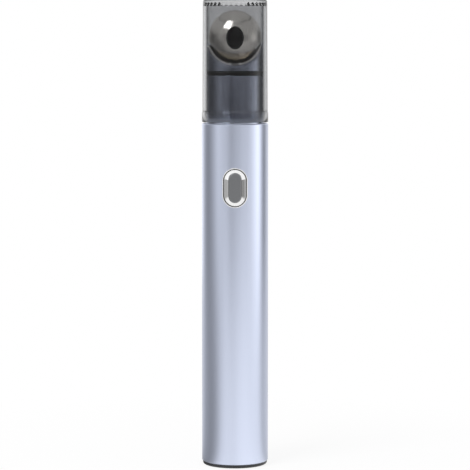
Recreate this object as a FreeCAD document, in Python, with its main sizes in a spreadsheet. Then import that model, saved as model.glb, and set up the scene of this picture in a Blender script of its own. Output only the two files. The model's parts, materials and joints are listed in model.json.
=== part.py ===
import FreeCAD, Part
import math
import os
import re
import Sketcher

# A pen-shaped digital otoscope that stands on its base: an aluminium barrel with the electronics
# inside, a metal head that holds a tilting ball camera, and a clear cap that pulls off the head.
# Millimetres. +Z runs up the barrel, -Y is the front, where the key and the lens are, and the
# origin is the centre of the base's underside.

# ---------------------------------------------------------------- driving dimensions
SIZES = [
    ("barrel_radius", 9.0, "barrel, outside"),
    ("barrel_wall", 0.8, "barrel wall"),
    ("barrel_length", 92.17, "barrel, end to end"),
    ("barrel_edge", 0.25, "chamfer on both ends of the barrel"),
    ("base_lip", 0.93, "height of the base that shows under the barrel"),
    ("base_inset", 0.25, "how far the base stands in from the barrel"),
    ("base_round", 0.55, "rounding of the base's lower edge"),
    ("base_depth", 5.0, "how deep the base plugs into the barrel"),
    ("base_floor", 0.7, "floor of the base above its lip"),
    ("base_wall", 1.1, "wall of the base's plug"),
    ("plug_gap", 0.05, "radial clearance of what plugs into the barrel"),
    ("seal_section", 1.0, "height of the base's seal"),
    ("seal_depth", 0.6, "depth of the base seal's groove"),
    ("port_width", 8.94, "charging port's shell, across"),
    ("port_height", 3.16, "charging port's shell, front to back"),
    ("port_length", 7.3, "charging port's shell, along the barrel"),
    ("port_wall", 0.3, "sheet of the port's shell"),
    ("port_recess", 0.35, "how far the port stands in from the underside"),
    ("port_gap", 0.1, "clearance round the port's shell in the base"),
    ("tongue_width", 6.7, "port's tongue, across"),
    ("tongue_thickness", 0.7, "port's tongue, front to back"),
    ("charge_board_width", 12.0, "charging board, across"),
    ("charge_board_length", 11.0, "charging board, along the barrel"),
    ("board_thickness", 0.8, "circuit boards"),
    ("cap_step", 0.12, "how far the cap's wall stands in from its rim"),
    ("cap_draft", 0.18, "how much the cap's radius falls from its rim to its top"),
    ("cap_wall", 1.13, "cap wall at the rim"),
    ("cap_seam", 0.3, "seam between the barrel and the cap"),
    ("cap_rim_height", 2.6, "height of the cap's rim"),
    ("cap_roof", 1.2, "cap roof"),
    ("cap_edge_round", 0.7, "rounding of the cap's top edge"),
    ("cap_bevel", 0.75, "bevel in the cap's inner top corner"),
    ("rim_relief", 0.35, "how much wider the cap's bore is inside its rim"),
    ("relief_over", 0.3, "how far that wider bore runs up past the rim"),
    ("cap_headroom", 2.04, "room over the ball under the cap's roof"),
    ("collar_gap", 0.2, "radial clearance of the head in the cap"),
    ("collar_height", 12.8, "collar, from the barrel to the seal ring"),
    ("collar_depth", 6.0, "how deep the collar plugs into the barrel"),
    ("collar_wall", 1.25, "collar wall"),
    ("collar_floor", 1.8, "collar floor"),
    ("collar_eye", 2.6, "radius of the hole in the collar's floor"),
    ("ridge_rise", 0.25, "how far the collar's ridges stand out"),
    ("ridge_band", 1.3, "height of the lowest ridge"),
    ("ridge_pitch", 0.8, "distance between ridges"),
    ("ridge_width", 0.36, "height of the upper ridges"),
    ("ridge_slope", 0.1, "height of a ridge's sloping flank"),
    ("seal_height", 1.25, "height of the cap's seal ring"),
    ("seal_gap", 0.05, "radial clearance of the seal ring in the cap"),
    ("seal_round", 0.3, "rounding of the seal ring"),
    ("cradle_plug_depth", 3.0, "how deep the cradle plugs into the collar"),
    ("cradle_floor", 1.46, "cradle, under the ball"),
    ("cradle_edge", 0.6, "chamfer along the front and back edges of the cradle's saddle"),
    ("horn_drop", 1.66, "how far the cradle's horns end below the ball's centre"),
    ("ball_margin", 0.35, "how much smaller the ball is than the head"),
    ("ball_gap", 0.15, "clearance between the ball and its cradle"),
    ("ball_wall", 0.7, "ball's wall"),
    ("boss_radius", 1.6, "bosses in the ball that clamp the axle"),
    ("boss_length", 1.9, "length of each boss"),
    ("axle_radius", 0.75, "tilt axle"),
    ("running_gap", 0.03, "radial clearance of the axle in the post"),
    ("clamp_gap", 0.02, "radial clearance of the axle where it is clamped"),
    ("post_width", 2.4, "pivot post, across"),
    ("post_depth", 2.4, "pivot post, front to back"),
    ("eye_radius", 1.9, "pivot post's eye"),
    ("post_fit", 0.05, "clearance round the post in the cradle"),
    ("foot_radius", 4.8, "pivot post's foot"),
    ("foot_height", 1.0, "pivot post's foot"),
    ("slot_gap", 0.4, "clearance round the post in the ball's slot"),
    ("slot_margin", 17.0, "degrees that the ball's slot runs past the post at each end"),
    ("tilt_travel", 90.0, "degrees that the ball tilts"),
    ("washer_thickness", 0.3, "friction washers"),
    ("washer_radius", 1.8, "friction washers"),
    ("cheek_thickness", 1.2, "cheeks of the camera frame"),
    ("cheek_radius", 2.2, "cheeks of the camera frame"),
    ("plate_front", 3.1, "camera frame's front plate, front of the axle"),
    ("plate_thickness", 0.6, "camera frame's front plate"),
    ("sensor_board_width", 4.4, "sensor board, across"),
    ("sensor_board_height", 5.6, "sensor board, up"),
    ("sensor_board_thickness", 0.5, "sensor board"),
    ("sensor_width", 2.4, "image sensor, across and up"),
    ("sensor_thickness", 0.5, "image sensor"),
    ("lens_barrel_radius", 1.5, "lens barrel"),
    ("lens_barrel_wall", 0.4, "lens barrel wall"),
    ("lens_setback", 0.35, "lens barrel's distance behind the window"),
    ("lens_thickness", 0.7, "front lens"),
    ("window_width", 4.5, "window and its gasket, across"),
    ("window_height", 6.1, "window and its gasket, up"),
    ("window_thickness", 0.6, "window"),
    ("gasket_width", 0.22, "gasket round the window"),
    ("window_fit", 0.02, "clearance round the gasket and the window"),
    ("led_board_width", 3.6, "light board, across"),
    ("led_board_height", 5.4, "light board, up"),
    ("led_board_thickness", 0.4, "light board"),
    ("led_size", 0.9, "lights, across and up"),
    ("led_thickness", 0.45, "lights"),
    ("led_spread", 2.1, "lights, above and below the lens"),
    ("led_setback", 0.4, "lights' distance behind the lens barrel's end"),
    ("key_drop", 17.1, "key's centre, below the top of the barrel"),
    ("bezel_width", 6.0, "key's bezel, across"),
    ("bezel_height", 9.86, "key's bezel, up"),
    ("bezel_bevel", 1.2, "width of the bezel's bevel"),
    ("bezel_drop", 0.5, "depth of the bezel's bevel"),
    ("bezel_depth", 1.4, "bezel, front to back"),
    ("bezel_gap", 0.06, "clearance round the bezel in the barrel"),
    ("opening_edge", 0.22, "chamfer round the barrel's opening for the key"),
    ("key_width", 3.3, "key's face, across"),
    ("key_height", 7.9, "key's face, up"),
    ("key_gap", 0.06, "clearance round the key in its bezel"),
    ("key_recess", 0.1, "key's face behind the bezel's"),
    ("key_flange", 0.75, "how far the key's flange stands out behind the bezel"),
    ("key_flange_thickness", 0.5, "key's flange"),
    ("key_travel", 0.4, "key's travel"),
    ("key_round", 0.2, "rounding of the key's face"),
    ("stop_gap", 0.1, "gaps in front of and behind the key's flange"),
    ("switch_size", 5.2, "switch housing, across and up"),
    ("plunger_radius", 1.0, "switch plunger"),
    ("plunger_gap", 0.12, "radial clearance of the plunger in its well"),
    ("plunger_grip", 0.4, "plunger, inside its well at rest"),
    ("sled_gap", 0.1, "radial clearance of the sled in the barrel"),
    ("sled_wall", 0.9, "sled's wall"),
    ("sled_end", 1.6, "sled's end wall"),
    ("sled_clearance", 0.1, "sled's clearance to the collar and to the base"),
    ("bridge_height", 4.0, "sled's bridges, along the barrel"),
    ("bridge_depth", 1.2, "sled's bridges, front to back"),
    ("board_side_gap", 0.19, "main board's clearance to the barrel"),
    ("board_depth", 3.8, "main board's back, in front of the barrel's axis"),
    ("board_length", 30.0, "main board, along the barrel"),
    ("battery_radius", 5.0, "battery"),
    ("battery_round", 0.6, "rounding of the battery's ends"),
    ("battery_lift", 3.0, "battery, above the charging board"),
    ("pad_thickness", 0.7, "foam pad behind the battery"),
    ("pad_gap", 0.05, "clearance of the foam pad"),
    ("pad_width", 6.0, "foam pad, across"),
    ("pad_inset", 4.5, "foam pad's ends, in from the battery's"),
    ("lead_radius", 0.4, "battery leads"),
    ("lead_spread", 1.5, "battery leads, each side of the middle"),
    ("lead_bend", 1.6, "radius of the battery leads' bend"),
    ("lead_rise", 1.0, "battery leads, straight above the battery"),
    ("lead_gap", 0.3, "clearance above and below the leads where they meet the board"),
    ("flex_width", 2.0, "camera's ribbon, across"),
    ("flex_thickness", 0.15, "camera's ribbon"),
    ("flex_fit", 0.05, "ribbon's clearance to the post"),
    ("flex_drop", 2.6, "ribbon's end, below the ball's centre"),
    ("connector_width", 5.0, "ribbon connector, across"),
    ("connector_height", 3.0, "ribbon connector, along the barrel"),
    ("connector_depth", 0.9, "ribbon connector, front to back"),
    ("wifi_width", 8.0, "radio module, across"),
    ("wifi_height", 11.0, "radio module, along the barrel"),
    ("wifi_thickness", 0.6, "radio module's board"),
    ("shield_inset", 0.4, "radio shield, in from its board"),
    ("shield_height", 8.0, "radio shield, along the barrel"),
    ("shield_thickness", 0.9, "radio shield"),
    ("wifi_drop", 6.0, "radio module's top, below the key's centre"),
    ("chip_size", 7.0, "processor, across and along"),
    ("chip_thickness", 0.9, "processor"),
    ("chip_lift", 1.5, "processor's foot, above the lower bridge"),
    ("antenna_width", 5.0, "antenna, across"),
    ("antenna_height", 1.6, "antenna, along the barrel"),
    ("antenna_thickness", 0.8, "antenna"),
    ("antenna_drop", 1.2, "antenna's top, below the main board's"),
    ("small_part_width", 1.6, "small components, across"),
    ("small_part_height", 0.8, "small components, along the barrel"),
    ("small_part_thickness", 0.6, "small components"),
    ("small_part_pitch", 2.2, "small components, along the barrel"),
    ("small_part_offset", 4.9, "small components, from the middle"),
    ("screw_radius", 0.5, "screws' shanks"),
    ("screw_head_radius", 0.95, "screws' heads"),
    ("screw_head_height", 0.5, "screws' heads"),
    ("screw_bite", 1.0, "how far a screw runs into what it holds"),
    ("screw_clearance", 0.1, "radial clearance of a screw's shank"),
    ("board_screw_offset", 5.2, "main board's screws, beside the middle"),
    ("collar_screw_radius", 4.6, "collar screws, from the middle"),
    ("post_screw_radius", 3.2, "post screws, from the middle"),
]

# ---------------------------------------------------------------- what follows from them
PLACES = [
    ("barrel_bore", "barrel_radius - barrel_wall", "barrel, inside"),
    ("barrel_top", "base_lip + barrel_length", "top of the barrel"),
    ("base_radius", "barrel_radius - base_inset", "base"),
    ("plug_radius", "barrel_bore - plug_gap", "what plugs into the barrel"),
    ("base_bore", "plug_radius - base_wall", "hollow of the base's plug"),
    ("base_top", "base_lip + base_depth", "top of the base's plug"),
    ("base_seal_foot", "base_lip + base_depth / 2 - seal_section / 2", "foot of the base's seal"),
    ("port_top", "port_recess + port_length", "inner end of the charging port"),
    ("charge_board_foot", "base_lip + base_floor + sled_clearance", "foot of the charging board"),
    ("charge_board_top", "charge_board_foot + charge_board_length", "top of the charging board"),
    ("cap_outer", "barrel_radius - cap_step", "cap's wall, outside, at its rim"),
    ("cap_bore", "cap_outer - cap_wall", "cap's bore"),
    ("rim_bore", "cap_bore + rim_relief", "cap's bore inside its rim"),
    ("cap_foot", "barrel_top + cap_seam", "foot of the cap"),
    ("cap_shoulder", "cap_foot + cap_rim_height", "top of the cap's rim"),
    ("collar_radius", "cap_bore - collar_gap", "head, outside"),
    ("collar_foot", "barrel_top - collar_depth", "foot of the collar"),
    ("collar_top", "barrel_top + collar_height", "top of the collar"),
    ("cup_radius", "collar_radius - collar_wall", "collar's hollow"),
    ("cup_floor", "collar_foot + collar_floor", "floor of the collar's hollow"),
    ("ridge_radius", "collar_radius + ridge_rise", "collar's ridges"),
    ("seal_top", "collar_top + seal_height", "top of the cap's seal ring"),
    ("cradle_plug_radius", "cup_radius - plug_gap", "cradle, inside the collar"),
    ("cradle_plug_foot", "collar_top - cradle_plug_depth", "lower end of the cradle"),
    ("saddle_floor", "seal_top + cradle_floor", "lowest line of the cradle's saddle"),
    ("ball_radius", "collar_radius - ball_margin", "ball"),
    ("ball_height", "saddle_floor + ball_gap + ball_radius", "ball's centre"),
    ("ball_inner", "ball_radius - ball_wall", "ball, inside"),
    ("cradle_top", "ball_height - horn_drop", "top of the cradle's horns"),
    ("cap_ceiling", "ball_height + ball_radius + cap_headroom", "cap's roof, underside"),
    ("cap_top", "cap_ceiling + cap_roof", "top of the cap"),
    ("foot_base", "cradle_plug_foot - foot_height", "underside of the post's foot"),
    ("washer_inner", "post_width / 2 + running_gap", "friction washers' inner faces"),
    ("washer_outer", "washer_inner + washer_thickness", "friction washers' outer faces"),
    ("cheek_outer", "washer_outer + cheek_thickness", "cheeks' outer faces"),
    ("axle_half", "ball_inner - ball_wall / 2", "half the axle's length"),
    ("boss_inner", "axle_half - boss_length", "inner ends of the ball's bosses"),
    ("window_front", "ball_radius - clamp_gap", "window's outer face, from the ball's centre"),
    ("window_back", "window_front - window_thickness", "window's inner face"),
    ("lens_front", "window_back - lens_setback", "lens barrel's front end"),
    ("sensor_back", "plate_front + sensor_board_thickness", "image sensor's back"),
    ("sensor_front", "sensor_back + sensor_thickness", "image sensor's front"),
    ("led_board_front", "lens_front - led_setback - led_thickness", "light board's front"),
    ("led_board_back", "led_board_front - led_board_thickness", "light board's back"),
    ("key_centre", "barrel_top - key_drop", "height of the key's centre"),
    ("bezel_front", "barrel_radius", "bezel's face, front of the axis"),
    ("bezel_back", "bezel_front - bezel_depth", "bezel's back"),
    ("key_front", "bezel_front - key_recess", "key's face"),
    ("flange_front", "bezel_back - stop_gap", "front of the key's flange"),
    ("flange_back", "flange_front - key_flange_thickness", "back of the key's flange"),
    ("switch_front", "flange_back - key_travel - stop_gap", "switch housing's front"),
    ("plunger_back", "switch_front - plunger_grip", "plunger's inner end"),
    ("well_floor", "plunger_back - key_travel - stop_gap", "floor of the plunger's well"),
    ("sled_radius", "barrel_bore - sled_gap", "sled, outside"),
    ("sled_bore", "sled_radius - sled_wall", "sled, inside"),
    ("sled_foot", "base_top + sled_clearance", "lower end of the sled"),
    ("sled_top", "collar_foot - sled_clearance", "top of the sled"),
    ("battery_back", "sled_bore - pad_thickness - battery_radius", "battery's axis, behind the middle"),
    ("battery_foot", "charge_board_top + battery_lift", "lower end of the battery"),
    ("board_back", "board_depth", "main board's back"),
    ("board_front", "board_back + board_thickness", "main board's front"),
    ("board_half", "sqrt(barrel_bore^2 - board_front^2) - board_side_gap", "half its width"),
    ("board_top", "sled_top - sled_end - sled_clearance", "top of the main board"),
    ("board_foot", "board_top - board_length", "lower end of the main board"),
    ("upper_bridge", "board_top - bridge_height", "upper bridge of the sled"),
    ("lower_bridge", "board_foot + 2 * lead_radius + 2 * lead_gap", "lower bridge of the sled"),
    ("lead_height", "board_foot + lead_gap + lead_radius", "where the leads meet the board"),
    ("battery_top", "lead_height - lead_bend - lead_rise", "top of the battery"),
    ("battery_length", "battery_top - battery_foot", "battery"),
    ("flex_front", "post_depth / 2 + flex_fit", "ribbon's front face along the post"),
    ("flex_back", "flex_front + flex_thickness", "ribbon's back face along the post"),
    ("connector_back", "board_back - connector_depth", "ribbon connector's back"),
    ("connector_top", "upper_bridge - sled_clearance", "top of the ribbon connector"),
    ("wifi_top", "key_centre - wifi_drop", "top of the radio module"),
    ("wifi_front", "board_front + wifi_thickness", "radio module's front"),
    ("chip_foot", "lower_bridge + bridge_height + chip_lift", "foot of the processor"),
    ("chip_top", "chip_foot + chip_size", "top of the processor"),
    ("hole_radius", "screw_radius + screw_clearance", "clearance holes for screws"),
]

doc = FreeCAD.newDocument("otoscope")
size_names = {name for name, _, _ in SIZES}
place_names = {name for name, _, _ in PLACES}


def qualified(formula, own_sheet=False):
    """The formula with each dimension's name preceded by the sheet that holds it."""

    def with_sheet(match):
        word = match.group(0)
        if word in size_names:
            return f"sizes.{word}"
        if word in place_names and not own_sheet:
            return f"places.{word}"
        return word

    return re.sub(r"[a-z_]+", with_sheet, formula)


def fill_sheet(name, rows):
    """A sheet with one dimension a row: what it is, and its aliased cell."""
    sheet = doc.addObject("Spreadsheet::Sheet", name)
    for row, (alias, content, meaning) in enumerate(rows, start=1):
        sheet.set(f"A{row}", meaning)
        sheet.set(f"B{row}", content)
        sheet.setAlias(f"B{row}", alias)
    doc.recompute()
    return sheet


sizes = fill_sheet("sizes", [(name, str(value), meaning) for name, value, meaning in SIZES])
places = fill_sheet(
    "places",
    [(name, "=" + qualified(formula, own_sheet=True), meaning) for name, formula, meaning in PLACES],
)


def number(formula):
    """What a formula comes to now."""
    return float(places.evalExpression(qualified(formula, own_sheet=True)))


def bind(thing, prop, formula):
    """Ties one property of a document object to a formula of the dimensions."""
    thing.setExpression(prop, qualified(formula))


# ---------------------------------------------------------------- sketches and features
def new_body(label):
    body = doc.addObject("PartDesign::Body", label)
    body.Label = label
    return body


def new_sketch(body, name, role, lift="0"):
    """An empty sketch on an origin plane of its own body, lifted along the plane's normal: +Z for
    XY_Plane, +X for YZ_Plane and -Y, towards the front, for XZ_Plane."""
    sketch = body.newObject("Sketcher::SketchObject", f"{body.Name}_{name}")
    plane = next(f for f in body.Origin.OriginFeatures if f.Role == role)
    sketch.AttachmentSupport = (plane, [""])
    sketch.MapMode = "FlatFace"
    bind(sketch, "AttachmentOffset.Base.z", lift)
    return sketch


def pin_point(sketch, element, end, across, up):
    """Fixes a sketch point by two formulas, measured from the sketch's origin."""
    for kind, formula, axis in (("DistanceX", across, -2), ("DistanceY", up, -1)):
        if formula == "0":
            sketch.addConstraint(Sketcher.Constraint("PointOnObject", element, end, axis))
            continue
        rule = Sketcher.Constraint(kind, -1, 1, element, end, number(formula))
        index = sketch.addConstraint(rule)
        name = f"{kind}_{element}_{end}"
        sketch.renameConstraint(index, name)
        bind(sketch, f"Constraints.{name}", formula)


def set_radius(sketch, element, formula):
    index = sketch.addConstraint(Sketcher.Constraint("Radius", element, number(formula)))
    sketch.renameConstraint(index, f"Radius_{element}")
    bind(sketch, f"Constraints.Radius_{element}", formula)


def outline(body, name, role, points, lift="0"):
    """A closed outline of straight lines through points given as pairs of formulas."""
    sketch = new_sketch(body, name, role, lift)
    spots = [FreeCAD.Vector(number(across), number(up), 0) for across, up in points]
    count = len(spots)
    for i in range(count):
        sketch.addGeometry(Part.LineSegment(spots[i], spots[(i + 1) % count]))
    for i in range(count):
        sketch.addConstraint(Sketcher.Constraint("Coincident", i, 2, (i + 1) % count, 1))
    for i, (across, up) in enumerate(points):
        pin_point(sketch, i, 1, across, up)
    return sketch


def rectangle(body, name, role, across, up, lift="0"):
    """An upright rectangle between two formulas across and two formulas up."""
    (left, right), (low, high) = across, up
    corners = [(left, low), (right, low), (right, high), (left, high)]
    return outline(body, name, role, corners, lift)


def add_circles(sketch, centres, radius):
    """Equal circles about centres given as pairs of formulas."""
    for across, up in centres:
        spot = FreeCAD.Vector(number(across), number(up), 0)
        circle = Part.Circle(spot, FreeCAD.Vector(0, 0, 1), number(radius))
        element = sketch.addGeometry(circle)
        pin_point(sketch, element, 3, across, up)
        set_radius(sketch, element, radius)


def stadium(body, name, role, middle, width, height, lift="0", turned=False):
    """A rounded slot of the given width and height about a middle on the sketch's vertical axis,
    or, where it is turned, a slot of that width and height whose long side lies across."""
    sketch = new_sketch(body, name, role, lift)
    short, long = (height, width) if turned else (width, height)
    radius = f"({short}) / 2"
    reach = f"(({long}) - ({short})) / 2"
    r = number(radius)
    run = number(reach)
    centre = number(middle)
    half_turn = math.pi
    ends = [FreeCAD.Vector(run, centre, 0), FreeCAD.Vector(-run, centre, 0)]
    start = -half_turn / 2
    if not turned:
        ends = [FreeCAD.Vector(0, centre + run, 0), FreeCAD.Vector(0, centre - run, 0)]
        start = 0
    normal = FreeCAD.Vector(0, 0, 1)
    arcs = [
        Part.ArcOfCircle(Part.Circle(ends[0], normal, r), start, start + half_turn),
        Part.ArcOfCircle(Part.Circle(ends[1], normal, r), start + half_turn, start + 2 * half_turn),
    ]
    for arc in arcs:
        sketch.addGeometry(arc)
    sketch.addGeometry(Part.LineSegment(arcs[0].EndPoint, arcs[1].StartPoint))
    sketch.addGeometry(Part.LineSegment(arcs[1].EndPoint, arcs[0].StartPoint))
    for first, first_end, second, second_end in ((0, 2, 2, 1), (2, 2, 1, 1), (1, 2, 3, 1), (3, 2, 0, 1)):
        rule = Sketcher.Constraint("Tangent", first, first_end, second, second_end)
        sketch.addConstraint(rule)
    set_radius(sketch, 0, radius)
    if turned:
        pin_point(sketch, 0, 3, reach, middle)
        pin_point(sketch, 1, 3, f"-({reach})", middle)
    else:
        pin_point(sketch, 0, 3, "0", f"{middle} + {reach}")
        pin_point(sketch, 1, 3, "0", f"{middle} - {reach}")
    return sketch


def revolve(body, sketch):
    """Turns the sketch's outline right round its vertical axis."""
    feature = body.newObject("PartDesign::Revolution", f"{sketch.Name}_turned")
    feature.Profile = sketch
    feature.ReferenceAxis = (sketch, ["V_Axis"])
    feature.Angle = 360
    sketch.Visibility = False
    doc.recompute()
    return feature


def pad(body, sketch, length, both_ways=False):
    feature = body.newObject("PartDesign::Pad", f"{sketch.Name}_pad")
    feature.Profile = sketch
    bind(feature, "Length", length)
    feature.Midplane = both_ways
    doc.recompute()
    return feature


def pocket(body, sketch, length, forward=True):
    """Cuts from the sketch, along its plane's normal where forward and against it otherwise, and
    makes sure that it removed something."""
    before = body.Shape.Volume
    feature = body.newObject("PartDesign::Pocket", f"{sketch.Name}_pocket")
    feature.Profile = sketch
    feature.Reversed = forward
    bind(feature, "Length", length)
    doc.recompute()
    if feature.Shape.Volume > before - 1e-4:
        raise RuntimeError(f"{feature.Name} removed nothing")
    return feature


def edges_where(shape, chosen):
    """Names of the edges that the test chooses."""
    return [f"Edge{i}" for i, edge in enumerate(shape.Edges, start=1) if chosen(edge)]


def dress(body, kind, chosen, size):
    """A PartDesign Fillet or Chamfer on the chosen edges of the body's last feature."""
    last = body.Tip
    names = edges_where(last.Shape, chosen)
    if not names:
        raise RuntimeError(f"no edge for a {kind} on {body.Label}")
    feature = body.newObject(f"PartDesign::{kind}", f"{body.Name}_{kind}")
    feature.Base = (last, names)
    bind(feature, "Radius" if kind == "Fillet" else "Size", size)
    doc.recompute()
    return feature


def level_circle(radius, height):
    """Chooses the level circles of one radius and height."""
    r = number(radius)
    z = number(height)

    def chosen(edge):
        box = edge.BoundBox
        level = abs(box.ZMin - z) < 1e-4 and abs(box.ZMax - z) < 1e-4
        return level and abs(box.XMax - r) < 1e-3 and abs(box.YMax - r) < 1e-3

    return chosen


# ---------------------------------------------------------------- primitives and booleans
TURN = {
    "up": FreeCAD.Rotation(),
    "right": FreeCAD.Rotation(FreeCAD.Vector(0, 1, 0), 90),
    "back": FreeCAD.Rotation(FreeCAD.Vector(1, 0, 0), -90),
    "forward": FreeCAD.Rotation(FreeCAD.Vector(1, 0, 0), 90),
    "down": FreeCAD.Rotation(FreeCAD.Vector(1, 0, 0), 180),
}


def put(thing, place):
    """Binds where a primitive stands: three formulas."""
    for letter, formula in zip("xyz", place):
        bind(thing, f"Placement.Base.{letter}", formula)


def rod(name, radius, length, place, towards="up"):
    """A cylinder that starts at a place and runs up, down, right, back or forward."""
    thing = doc.addObject("Part::Cylinder", name)
    thing.Placement = FreeCAD.Placement(FreeCAD.Vector(), TURN[towards])
    bind(thing, "Radius", radius)
    bind(thing, "Height", length)
    put(thing, place)
    return thing


def block(name, across, deep, up):
    """A box between two formulas on each of X, Y and Z."""
    thing = doc.addObject("Part::Box", name)
    for prop, (low, high) in zip(("Length", "Width", "Height"), (across, deep, up)):
        bind(thing, prop, f"({high}) - ({low})")
    put(thing, (across[0], deep[0], up[0]))
    return thing


def ball(name, radius, place):
    thing = doc.addObject("Part::Sphere", name)
    bind(thing, "Radius", radius)
    put(thing, place)
    return thing


def less(name, base, *tools):
    """The base with each tool cut from it, one after another."""
    for i, tool in enumerate(tools, start=1):
        last = i == len(tools)
        result = doc.addObject("Part::Cut", name if last else f"{name}_cut_{i}")
        result.Base = base
        result.Tool = tool
        base = result
    return base


def joined(name, *things):
    result = doc.addObject("Part::MultiFuse", name)
    result.Shapes = list(things)
    result.Refine = True
    return result


def shared(name, *things):
    """The space that all the things share."""
    result = doc.addObject("Part::MultiCommon", name)
    result.Shapes = list(things)
    return result


def edged(name, kind, base, chosen, size):
    """A Part Fillet or Chamfer of one size on the chosen edges of a finished shape."""
    names = edges_where(base.Shape, chosen)
    if not names:
        raise RuntimeError(f"no edge for a {kind} on {name}")
    result = doc.addObject(f"Part::{kind}", name)
    result.Base = base
    reach = number(size)
    result.Edges = [(int(edge.removeprefix("Edge")), reach, reach) for edge in names]
    return result


def grouped(name, things):
    """Like pieces that stay separate solids."""
    result = doc.addObject("Part::Compound", name)
    result.Links = list(things)
    return result


def screw(name, grip, place, towards):
    """A screw whose head stands on a place and whose shank runs on past what it clamps."""
    x, y, z = place
    shank = rod(f"{name}_shank", "screw_radius", f"{grip} + screw_bite", place, towards)
    back = {"up": "down", "down": "up", "back": "forward"}[towards]
    head = rod(f"{name}_head", "screw_head_radius", "screw_head_height", (x, y, z), back)
    return joined(name, shank, head)


# ---------------------------------------------------------------- barrel and base
def make_body_tube():
    """Drawn tube with chamfered ends and a chamfered opening for the key."""
    body = new_body("body_tube")
    section = [
        ("barrel_bore", "base_lip"),
        ("barrel_radius - barrel_edge", "base_lip"),
        ("barrel_radius", "base_lip + barrel_edge"),
        ("barrel_radius", "barrel_top - barrel_edge"),
        ("barrel_radius - barrel_edge", "barrel_top"),
        ("barrel_bore", "barrel_top"),
    ]
    revolve(body, outline(body, "section", "XZ_Plane", section))
    width = "bezel_width + 2 * bezel_gap"
    height = "bezel_height + 2 * bezel_gap"
    opening = stadium(body, "opening", "XZ_Plane", "key_centre", width, height)
    pocket(body, opening, "2 * barrel_radius")
    radius = number("barrel_radius")
    middle = number("key_centre")
    reach = number(height) / 2

    def on_the_skin(edge):
        spots = edge.discretize(5)
        near = all(abs(p.z - middle) < reach + 0.01 for p in spots)
        return near and all(abs((p.x**2 + p.y**2) ** 0.5 - radius) < 1e-3 for p in spots)

    dress(body, "Chamfer", on_the_skin, "opening_edge")
    return body


def make_base_plug():
    """Plastic plug under the barrel, with a lip to stand on and a slot for the charging port."""
    body = new_body("base_plug")
    groove = "plug_radius - seal_depth"
    section = [
        ("0", "0"),
        ("base_radius", "0"),
        ("base_radius", "base_lip"),
        ("plug_radius", "base_lip"),
        ("plug_radius", "base_seal_foot"),
        (groove, "base_seal_foot"),
        (groove, "base_seal_foot + seal_section"),
        ("plug_radius", "base_seal_foot + seal_section"),
        ("plug_radius", "base_top"),
        ("base_bore", "base_top"),
        ("base_bore", "base_lip + base_floor"),
        ("0", "base_lip + base_floor"),
    ]
    revolve(body, outline(body, "section", "XZ_Plane", section))
    width = "port_width + 2 * port_gap"
    height = "port_height + 2 * port_gap"
    slot = stadium(body, "slot", "XY_Plane", "0", width, height, turned=True)
    pocket(body, slot, "base_lip + 2 * base_floor")
    dress(body, "Fillet", level_circle("base_radius", "0"), "base_round")
    return body


def make_base_seal():
    body = new_body("base_seal")
    inner = "plug_radius - seal_depth"
    section = [
        (inner, "base_seal_foot"),
        ("barrel_bore", "base_seal_foot"),
        ("barrel_bore", "base_seal_foot + seal_section"),
        (inner, "base_seal_foot + seal_section"),
    ]
    revolve(body, outline(body, "section", "XZ_Plane", section))
    return body


def make_port_shell():
    """Drawn steel shell of the charging port, closed at its inner end."""
    body = new_body("port_shell")
    outside = stadium(
        body, "outside", "XY_Plane", "0", "port_width", "port_height", "port_recess", turned=True
    )
    pad(body, outside, "port_length")
    width = "port_width - 2 * port_wall"
    height = "port_height - 2 * port_wall"
    inside = stadium(body, "inside", "XY_Plane", "0", width, height, "port_recess", turned=True)
    pocket(body, inside, "port_length - port_wall")
    return body


def make_port_tongue():
    """Contact tongue of the charging port, on the block that holds it in the shell."""
    top = "port_top - port_wall"
    foot = f"{top} - port_length / 4"
    half = "tongue_width / 2"
    tongue = block(
        "port_tongue_blade",
        (f"-{half}", half),
        ("-tongue_thickness / 2", "tongue_thickness / 2"),
        ("port_recess + port_length / 8", top),
    )
    straight = "(port_width - port_height) / 2"
    holder = block(
        "port_tongue_holder",
        (f"-{straight}", straight),
        ("-(port_height / 2 - port_wall)", "port_height / 2 - port_wall"),
        (foot, top),
    )
    return joined("port_tongue", tongue, holder)


def make_charge_board():
    """Small board that the charging port stands on."""
    body = new_body("charge_board")
    sketch = rectangle(
        body,
        "outline",
        "XZ_Plane",
        ("-charge_board_width / 2", "charge_board_width / 2"),
        ("charge_board_foot", "charge_board_top"),
        "-(port_height / 2 + board_thickness)",
    )
    pad(body, sketch, "board_thickness")
    return body


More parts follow.
